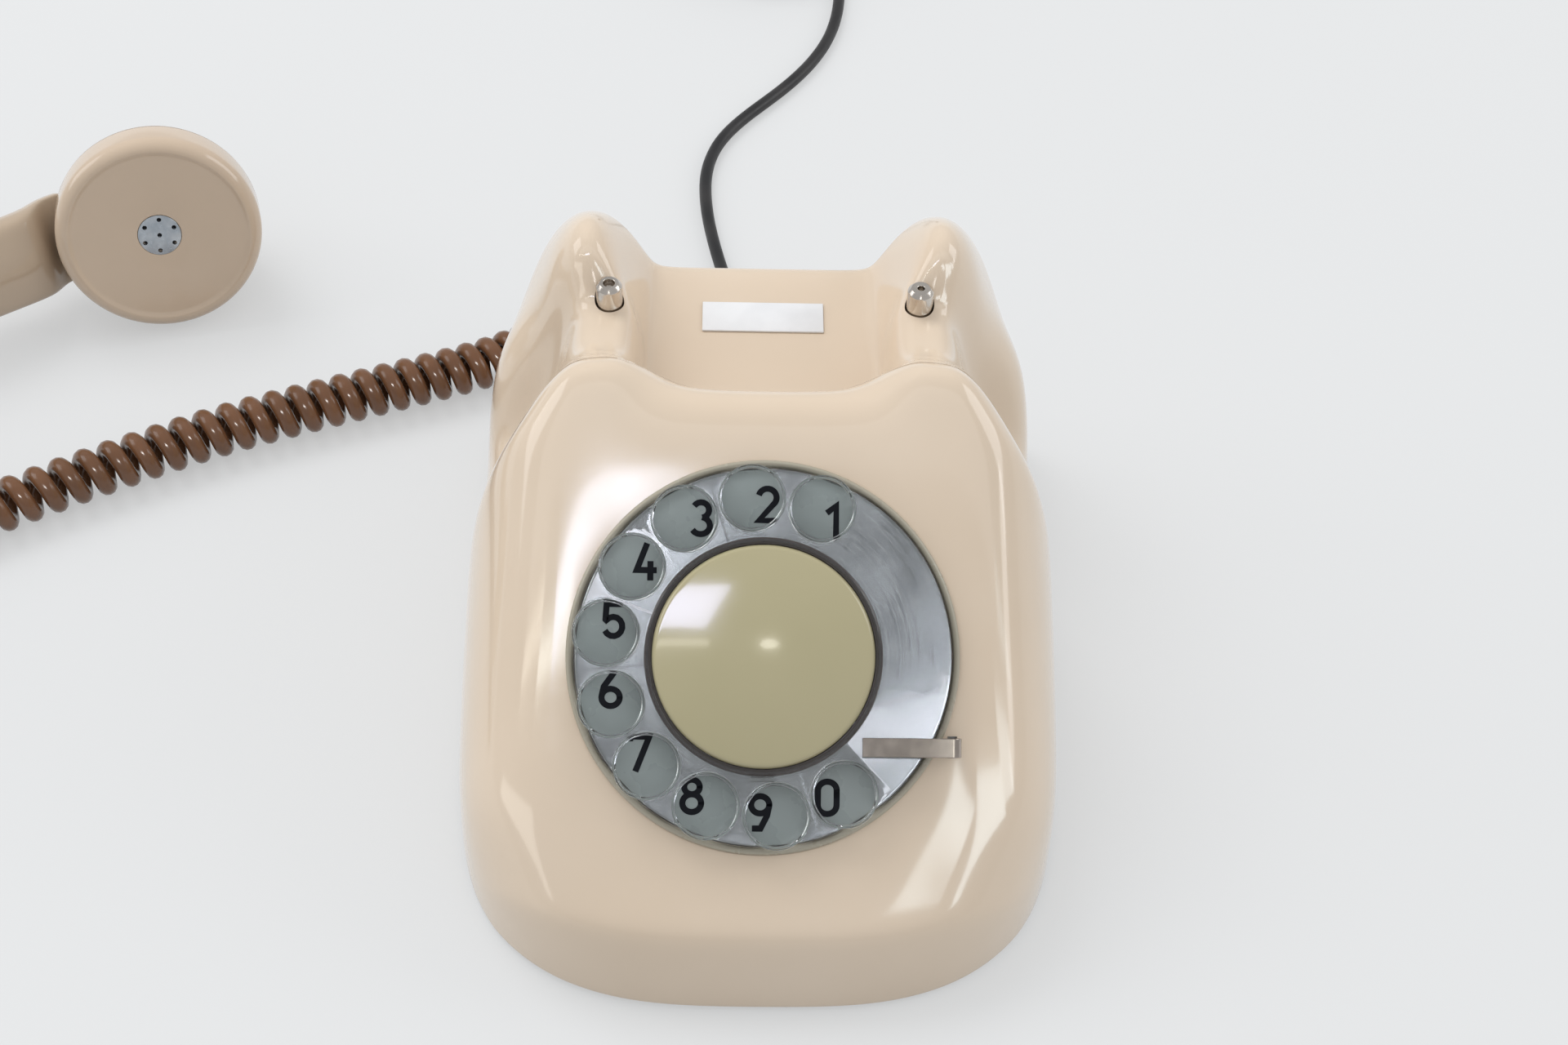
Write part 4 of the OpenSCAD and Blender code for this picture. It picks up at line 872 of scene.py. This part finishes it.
def stroke(points, height):
    """A flat line of even width along the points, with mitred joints."""
    p = [Vector((x, y)) for x, y in points]
    closed = (p[0] - p[-1]).length < 1e-6
    left, right = [], []
    for i, here in enumerate(p):
        before = p[i - 1] if i else (p[-2] if closed else here)
        after = p[i + 1] if i < len(p) - 1 else (p[1] if closed else here)
        a, b = here - before, after - here
        a = a.normalized() if a.length > 1e-6 else b.normalized()
        b = b.normalized() if b.length > 1e-6 else a
        side = Vector((-(a + b).y, (a + b).x)).normalized()
        reach = STROKE_W / 2 / max(0.5, side.dot(Vector((-a.y, a.x))))
        left.append((*(here + side * reach), height))
        right.append((*(here - side * reach), height))
    bm = grid([right, left])
    top = bmesh.ops.extrude_face_region(bm, geom=bm.faces[:])["geom"]
    bmesh.ops.translate(bm, vec=(0, 0, INK_T),
                        verts=[g for g in top if isinstance(g, bmesh.types.BMVert)])
    return faced_out(bm)


def make_number_plate():
    """The plate behind the wheel, with its figures."""
    rim = turned(eased([(PLATE_HOLE_R, -1.2), (RIM_R, -1.2), (RIM_R, -3), (PLATE_R, -3),
                        (PLATE_R, PLATE_Z), (PLATE_HOLE_R, PLATE_Z)], [0, 0, 0, 0, 0.1, 0]), 160)
    keep_on_dial("number_disc", rim, "body", PLATE, ["number_plate"], "number_grey")
    marks = []
    for digit, place in DIGIT_AT.items():
        at = matrix((*place, 0))
        for n, line in enumerate(STROKES[digit]):
            scaled = [(x * DIGIT_H / STROKE_BOX, y * DIGIT_H / STROKE_BOX) for x, y in line]
            marks.append(moved(stroke(scaled, PLATE_Z + OVERLAP_STEP * n), at))
    keep_on_dial("dial_numbers", together(*marks), "body", INK, (), "black_plastic", 30)


def make_dial_surround():
    """The low ring round the dial's opening."""
    profile = eased([(OPENING_R + 0.05, 0), (RING_R, 0), (RING_R, 0.9), (OPENING_R + 1.0, 1.5),
                     (OPENING_R + 0.3, 1.3), (OPENING_R + 0.05, 0.9)],
                    [0, 0.1, 0.4, 0.3, 0.2, 0.1])
    keep_on_dial("dial_surround", turned(profile, 192), "body", RING, ["dial_ring"],
                 "ring_plastic")


STOP_TOP, STOP_T, STOP_TIP, STOP_BEND, STOP_FOOT = 7.2, 0.8, 20.7, 1.3, -3


def make_finger_stop():
    """A bent metal strip over the wheel, with its foot in the front cover."""
    x_leg = STOP_LEG + STOP_T
    path = [(STOP_TIP, STOP_TOP), (x_leg - STOP_BEND, STOP_TOP)]
    path += arc(x_leg - STOP_BEND, STOP_TOP - STOP_BEND, STOP_BEND, STOP_BEND, 90, 0, 6)[1:]
    path += [(x_leg, STOP_FOOT)]
    rows = [[(x, y, z) for x, z in path] for y in (STOP_Y - STOP_W / 2, STOP_Y + STOP_W / 2)]
    strip = settled(
        grid(rows),
        ("SOLIDIFY", {"thickness": STOP_T, "offset": 1, "use_even_offset": True}),
        broken_edges(0.14, 2, 50))
    keep_on_dial("finger_stop_strip", strip, "body", STOP_METAL_PAINTED_REFLECTION, ["finger_stop"], "nickel", 20)


make_finger_wheel()
make_dial_centre()
make_number_plate()
make_dial_surround()
make_finger_stop()


# ---------- cradle
PLUNGER_FOOT, PLUNGER_TOP, FLANGE_R = 55.4, 84.3, 4.4
# side, name, radius of the dimple in the plunger's tip
SIDES = ((-1, "left", 1.3), (1, "right", 0.8))
BUSH = [(3.06, 58.2), (5.5, 58.2), (5.5, 59.8), (BUSH_R, 59.8), (BUSH_R, 74.6),
        (BUSH_R - 0.3, 74.9), (3.2, 74.9), (3.06, 74.7)]


def make_cradle():
    """The two plungers in their bushes, and the blank label between them."""
    foot, top = PLUNGER_FOOT, PLUNGER_TOP
    for side, name, dimple in SIDES:
        shape = [(0, foot), (FLANGE_R, foot), (FLANGE_R, foot + 2.2), (PLUNGER_R, foot + 2.2),
                 (PLUNGER_R, top - 1.1), (2.1, top), (dimple + 0.15, top), (dimple, top - 0.15),
                 (dimple * 0.8, top - 1.9), (0, top - 2.3)]
        pin = turned(eased(shape, [0, 0.2, 0.2, 0, 0.25, 0.25, 0.1, 0.1, 0.2, 0], False), 96,
                     False, plunger_place(side))
        keep(f"cradle_plunger_{name}", pin, f"{name}_plunger", NICKEL, [f"plunger_{name}"],
             "nickel")
    bushes = [turned(BUSH, 64, True, plunger_place(side)) for side, _, _ in SIDES]
    keep("plunger_bushes", together(*bushes), "body", BLACK, ["plunger_guides"], "black_plastic")
    low, high = (Vector(corner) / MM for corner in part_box("label_plate"))
    keep("blank_label_strip", block(low, high, 0.15), "body", LABEL, ["label_plate"], "label")


make_cradle()


# ---------- handset
# The handset's own frame: X along it, Z from the handle towards the caps
HANDSET = matrix(HANDSET_AT, (HANDSET_YAW, "Z"), (HANDSET_ROLL, "X"))
CAP_SPAN, CAP_LEAN, HANDSET_CAP_R, CAP_DEPTH, GRILLE_R = 158, 21, 26.4, 11, 5.6
GRILLE_HOLE_R, GRILLE_CIRCLE = 0.6, 4.3
END_RELIEF = (-107, 0, -19)


def cup_place(side):
    """Placement of a cup on the handset, leaning inward; its cap's face is at height 0."""
    return matrix((side * CAP_SPAN / 2, 0, 0), (-side * CAP_LEAN, "Y"))


def cap_profile():
    """Half section of a screwed cap, with a seat for the metal disc."""
    r, crest = HANDSET_CAP_R, HANDSET_CAP_R - 2.7
    seat = [(GRILLE_R - 0.9, -3), (GRILLE_R - 0.9, -1.9), (GRILLE_R, -1.9), (GRILLE_R, -1.05)]
    face = [(crest - 9, -0.9), (crest - 1.4, -0.45), (crest - 0.4, 0)]
    edge = [(crest - 0.6 + 3.3 * math.cos(math.radians(a)), -3.6 + 3.6 * math.sin(math.radians(a)))
            for a in range(75, -1, -5)]
    inside = [(r, -CAP_DEPTH), (r - 1.9, -CAP_DEPTH), (r - 1.9, -6), (r - 5, -3)]
    return eased(seat + face + edge + inside,
                 [0, 0, 0, 0.25, 2, 1.2, 0.6] + [0] * len(edge) + [0.4, 0.1, 0, 0])


def make_caps():
    """The two caps, each with a pierced metal disc."""
    hole = plain(0, GRILLE_HOLE_R, -3, 1)
    spots = [matrix((0, 0, 0))]
    spots += [matrix((i * 60 + 15, "Z"), (GRILLE_CIRCLE, 0, 0)) for i in range(6)]
    for side, name, node in ((1, "earpiece", "ear"), (-1, "mouthpiece", "mouth")):
        place = HANDSET @ cup_place(side)
        keep(f"{name}_cap", turned(cap_profile(), 192, True, place), "handset", HANDSET_CAP,
             [f"{node}_cap"], "shell")
        disc = eased(plain(0, GRILLE_R - 0.05, -1.85, -1), [0, 0, 0.15, 0], False)
        disc = turned(disc, 96, False)
        holes = [turned(hole, 24, False, at) for at in spots]
        keep(f"{name}_grille_disc", moved(combined(disc, "DIFFERENCE", *holes), place), "handset",
             GRILLE, [f"{node}_grille"], "grille_metal")


# The handle's half section, (across, height) about its middle line, and where it has sections
HANDLE_HALF = [(0, 8), (6, 6.4), (10.6, 4.9), (12, 3.2), (12.3, 0.5), (11.8, -3), (9.6, -6.8),
               (5.6, -9.2), (0, -10)]
HANDLE_SECTION = HANDLE_HALF + [(-x, z) for x, z in reversed(HANDLE_HALF[:-1])]
HANDLE_STATIONS = [-66, -62, -58, -54, -50, -42, -30, -15, 0, 15, 30, 42, 50, 54, 58, 62, 66]
NECK_X, NECK_LENGTH, NECK_DROP, NECK_THINS = 53, 5, 3, 0.85
HANDLE_Z, ARCH_X, ARCH_RISE = -24.5, 48, 2
CUP_OUTSIDE = [(25.4, -14), (22, -22), (19.6, -27), (16.4, -31.5), (12, -34.6), (6.5, -36.4),
               (0, -37)]
CUP_NECK_R, CUP_R, CUP_WALL, CUP_TOP = HANDSET_CAP_R - 2, HANDSET_CAP_R - 0.1, 1.8, -6.1
CUP_INSIDE = [(CUP_NECK_R - CUP_WALL, CUP_TOP), (CUP_NECK_R - CUP_WALL, -14), (19.8, -21.4),
              (17.4, -26.2), (14.6, -30), (10.8, -32.6), (6, -34.2), (0, -34.6)]
CLEARING = 0.05
END_HOLE_R = 3.45


def neck_share(x):
    """From 0 on the handle to 1 where it has gone into a cup."""
    return min(1, max(0, abs(x) - NECK_X) / NECK_LENGTH)


def handle_point(x, across, height):
    """A point of the handle's skin; its upper side sinks and flattens at the necks."""
    middle = HANDLE_Z + ARCH_RISE * (abs(x) / ARCH_X) ** 2 - NECK_DROP * neck_share(x)
    return (x, across, middle + height * (1 - NECK_THINS * neck_share(x) if height > 0 else 1))


def make_handset_body():
    """The handle and both hollow cups in one moulding."""
    bm = grid([[handle_point(x, *point) for point in HANDLE_SECTION] for x in HANDLE_STATIONS])
    bmesh.ops.remove_doubles(bm, verts=bm.verts, dist=0.01)
    bmesh.ops.holes_fill(bm, edges=[e for e in bm.edges if e.is_boundary])
    bmesh.ops.recalc_face_normals(bm, faces=bm.faces)
    handle = settled(bm, ("SUBSURF", {"levels": 2, "render_levels": 2}))
    dome = [(p.x, p.y) for p in smooth_run([(*p, 0) for p in CUP_OUTSIDE], 4)]
    dome[-1] = (0, dome[-1][1])
    thread = [(CUP_NECK_R, CUP_TOP), (CUP_NECK_R, -CAP_DEPTH - 0.2), (CUP_R, -CAP_DEPTH - 0.2)]
    wall = thread + dome + CUP_INSIDE[::-1]
    clearing = [(0, 1), (CUP_NECK_R - CUP_WALL + CLEARING, 1)]
    clearing += [(r + CLEARING if r else 0, z - CLEARING) for r, z in CUP_INSIDE]
    cups = [turned(wall, 160, True, cup_place(side)) for side in (1, -1)]
    hollows = [turned(clearing, 96, False, cup_place(side)) for side in (1, -1)]
    hole = rod_between(END_HOLE_R, -9, 11, matrix(END_RELIEF, (-90, "Y")))
    bm = combined(handle, "UNION", *cups)
    bm = combined(bm, "DIFFERENCE", *hollows, hole)
    keep("handset_moulding", moved(bm, HANDSET), "handset", HANDSET_SHADED_BEIGE, ["handset_shell"],
         "shell", 40)


make_caps()
make_handset_body()


# ---------- cord reliefs and plug
def relief_profile(root, tip, reach, flange, grooves):
    """Half section of a tapered sleeve with shallow grooves, from its flange to its tip."""
    shape = [(0, -7), (root + flange, -7), (root + flange, -4.4), (root, -4.4), (root, 1)]
    for i in range(grooves):
        for step, sink in ((0.15, 0), (0.3, 0.35), (0.6, 0.35), (0.75, 0)):
            t = (i + step) / grooves
            shape.append((mix(root, tip, t) - sink, 1 + reach * t))
    return shape + [(tip, 1 + reach), (0, 1 + reach)]


# name, x, y, root and tip radius, reach, finish, CAD node, slot, grooves
BODY_SLEEVES = (
    ("handset_cord_sleeve", -38, 83.2, 4.2, CURLY_D / 2 + 0.5, 14, BROWN_CORD,
     "handset_cord_relief", "cord_brown", 4),
    ("line_cord_sleeve", -1, 87.6, 3.7, LINE_D / 2 + 0.5, 20, BLACK_CORD,
     "line_cord_relief", "cord_black", 6))
END_ROOT, END_TIP, END_REACH = 3.4, CURLY_D / 2 + 0.4, 11


def make_reliefs():
    """The sleeves where the cords enter the body and the handset."""
    for name, x, y, root, tip, reach, finish, node, slot, grooves in BODY_SLEEVES:
        sleeve = turned(eased(relief_profile(root, tip, reach, 1.6, grooves), 0.2, False, 2), 64,
                        False, matrix((x, y, RELIEF_Z), (-90, "X")))
        keep(name, sleeve, "body", finish, [node], slot)
    shape = [(0, -5), (END_ROOT, -5), (END_ROOT, 1), (END_TIP, 1 + END_REACH), (0, 1 + END_REACH)]
    sleeve = turned(eased(shape, [0, 0.2, 0.3, 0.3, 0], False), 64, False,
                    HANDSET @ matrix(END_RELIEF, (-90, "Y")))
    keep("handset_end_sleeve", sleeve, "handset", BROWN_CORD, ["handset_end_relief"],
         "cord_brown")


make_reliefs()


# ---------- floor and light
FLOOR_REACH, FLOOR_BASE = 4, (0.55, 0.555, 0.555, 1)
FLOOR_GLOW, GLOW_SHARE = (0.985, 0.995, 1.0, 1), 0.44


def make_floor():
    """A pale desk that keeps its shadows and looks brighter than the light that it throws back."""
    bm = bmesh.new()
    bmesh.ops.create_grid(bm, x_segments=2, y_segments=2, size=FLOOR_REACH)
    desk = linked("desk", mesh_of(bm, "desk"))
    r = Recipe("desk_white")
    r.put("Base Color", FLOOR_BASE)
    r.put("Roughness", 0.35)
    r.put("Specular IOR Level", 0.25)
    pale = r.node("Emission")
    pale.inputs["Color"].default_value = FLOOR_GLOW
    path = r.node("LightPath")
    seen = path.outputs["Is Camera Ray"]
    for ray in ("Is Glossy Ray", "Is Transmission Ray"):
        either = r.node("Math", operation="MAXIMUM")
        r.join(seen, either.inputs[0])
        r.join(path.outputs[ray], either.inputs[1])
        seen = either.outputs["Value"]
    share = r.node("Math", operation="MULTIPLY")
    share.inputs[1].default_value = GLOW_SHARE
    r.join(seen, share.inputs[0])
    blend = r.node("MixShader")
    r.join(share.outputs["Value"], blend.inputs["Fac"])
    r.join(r.shader.outputs["BSDF"], blend.inputs[1])
    r.join(pale.outputs["Emission"], blend.inputs[2])
    r.join(blend.outputs["Shader"], r.tree.nodes["Material Output"].inputs["Surface"])
    desk.data.materials.append(r.material)


# Panes hang on a wall in front, in shares of its distance, and only gleam on the pieces listed.
ROOM_WALL = 3.0
SHELLS = ("front_housing", "rear_housing")
WHEEL = ("clear_finger_wheel", "metallised_back", "finger_stop_strip")
CAP_TOP = ("centre_cap_dome",)
CORD_LIT = ("curly_handset_cord", "handset_cord_sleeve", "handset_end_sleeve")
HORNS_LIT = ("rear_housing", "cradle_plunger_left", "cradle_plunger_right")
PANES = [
    # name, across low and high, up low and high, turn, glow, colour, where it gleams
    ("pane_left", -0.79, -0.01, 1.45, 1.59, 16, 11.0, (0.74, 0.81, 1.0), SHELLS),
    ("pane_left_dial", -0.98, -0.05, 1.46, 1.67, 0, 8.0, (0.9, 0.91, 1.0), WHEEL),
    ("sill_left", -1.3, -0.36, 1.36, 1.43, 0, 8.0, (0.9, 0.95, 0.9), SHELLS),
    ("sill_far_left", -2.6, -1.3, 1.44, 1.54, 0, 4.5, (1.0, 0.95, 0.82), SHELLS),
    ("pane_low_left", -4.0, -1.0, 0.38, 0.82, 0, 1.6, (1.0, 0.97, 0.9), SHELLS),
    ("pane_right_inner", 0.31, 0.72, 0.86, 1.1, -35, 4.8, (0.8, 0.92, 0.97), SHELLS),
    ("pane_right_outer", 0.8, 1.9, 0.56, 1.14, 0, 4.6, (0.8, 0.92, 0.97), SHELLS),
    ("pane_right_far", 1.9, 3.3, 0.75, 1.38, 0, 3.4, (0.8, 0.92, 0.97), SHELLS),
    ("pane_right_slit", 2.9, 5.6, 1.64, 1.8, 0, 2.4, (0.75, 0.9, 0.97), SHELLS),
    ("pane_right_dial", 0.38, 0.83, 0.72, 1.3, 0, 2.0, (0.94, 0.97, 0.92), WHEEL),
    ("pane_above_left", -1.5, -0.42, 1.8, 3.0, -5, 10.5, (0.69, 0.71, 1.0), CAP_TOP),
    ("sill_above_left", -1.5, -0.4, 1.48, 1.58, 0, 4.5, (1.0, 0.95, 0.82), CAP_TOP),
    ("ceiling_lamp", 0.0, 0.15, 1.45, 1.58, 0, 8.0, (1.0, 0.97, 0.85), CAP_TOP),
    ("ceiling", -3.0, 3.0, 1.68, 5.0, 0, 0.5, (1.0, 0.99, 0.97), SHELLS),
    ("pane_cord", -0.4, 0.12, 1.04, 1.36, 0, 24.0, (1.0, 0.98, 0.95), CORD_LIT),
    ("pane_horns", -0.08, 0.05, 0.64, 0.76, 0, 5.0, (1.0, 0.98, 0.95), HORNS_LIT),
]


# name, place, facing, size, glow, colour of the soft lamps, in metres
WINDOWS = [
    ("window_behind", (-1.2, 1.2, 2.4), (1.2, -1.2, -2.35), (1.7, 1.4), 3.6, (0.97, 0.98, 1)),
    ("window_left", (-2.2, 0.4, 1.3), (1, -0.15, -0.5), (1.4, 1.2), 1.5, (0.98, 0.99, 1)),
    ("window_right", (2.2, 0.4, 1.3), (-1, -0.15, -0.5), (1.4, 1.2), 1.8, (0.98, 0.99, 1)),
]
SIDE_PANE_AT, SIDE_PANE_SIZE, SIDE_PANE_GLOW = Vector((1, -0.2, 0.34)), (0.12, 0.3), 2.0
ROOM_COLOUR, ROOM_STRENGTH, ROOM_GLEAM = (0.965, 0.98, 1.0, 1), 0.80, 0.55


def add_lamp(name, at, facing, size, glow, colour, turn=0):
    """A flat lamp whose face is as bright as glow times white, turned by degrees in its plane."""
    light = bpy.data.lights.new(name, "AREA")
    light.shape = "ELLIPSE" if name == "ceiling_lamp" else "RECTANGLE"
    light.size, light.size_y = size
    light.energy = 4 * size[0] * size[1] * glow
    light.color = colour
    lamp = linked(name, light)
    lamp.location = at
    lamp.rotation_euler = Vector(facing).to_track_quat("-Z", "Z").to_euler()
    lamp.rotation_euler.rotate_axis("Z", math.radians(turn))
    lamp.visible_camera = False
    return lamp


def gleam_on(lamp, names):
    """Makes a lamp gleam on these pieces and light nothing."""
    lamp.visible_diffuse = False
    group = bpy.data.collections.new(lamp.name + "_gleam")
    for name in names:
        group.objects.link(bpy.data.objects[name])
    lamp.light_linking.receiver_collection = group


def light_room():
    """An even room that looks dimmer in glossy surfaces."""
    world = bpy.data.worlds.new("room")
    bpy.context.scene.world = world
    world.use_nodes = True
    tree = world.node_tree
    ground = tree.nodes["Background"]
    ground.inputs["Color"].default_value = ROOM_COLOUR
    path = tree.nodes.new("ShaderNodeLightPath")
    dim = tree.nodes.new("ShaderNodeMapRange")
    dim.inputs["To Min"].default_value = ROOM_STRENGTH
    dim.inputs["To Max"].default_value = ROOM_GLEAM
    tree.links.new(path.outputs["Is Glossy Ray"], dim.inputs["Value"])
    tree.links.new(dim.outputs["Result"], ground.inputs["Strength"])


def light_scene():
    """Soft windows on three sides, and panes in front and on the right that only gleam."""
    for name, at, facing, size, glow, colour in WINDOWS:
        window = add_lamp(name, at, facing, size, glow, colour)
        window.visible_glossy = name != "window_behind"
    for name, x0, x1, z0, z1, turn, glow, colour, pieces in PANES:
        at = Vector(((x0 + x1) / 2, -1, (z0 + z1) / 2)) * ROOM_WALL
        size = ((x1 - x0) * ROOM_WALL, (z1 - z0) * ROOM_WALL)
        gleam_on(add_lamp(name, at, (0, 1, 0), size, glow, colour, turn), pieces)
    size = [share * ROOM_WALL for share in SIDE_PANE_SIZE]
    gleam_on(add_lamp("pane_far_right", SIDE_PANE_AT * ROOM_WALL, (-1, 0, 0), size,
                      SIDE_PANE_GLOW, (1, 1, 1)), SHELLS)


make_floor()
light_room()
light_scene()
bpy.context.scene.view_settings.view_transform = "Standard"
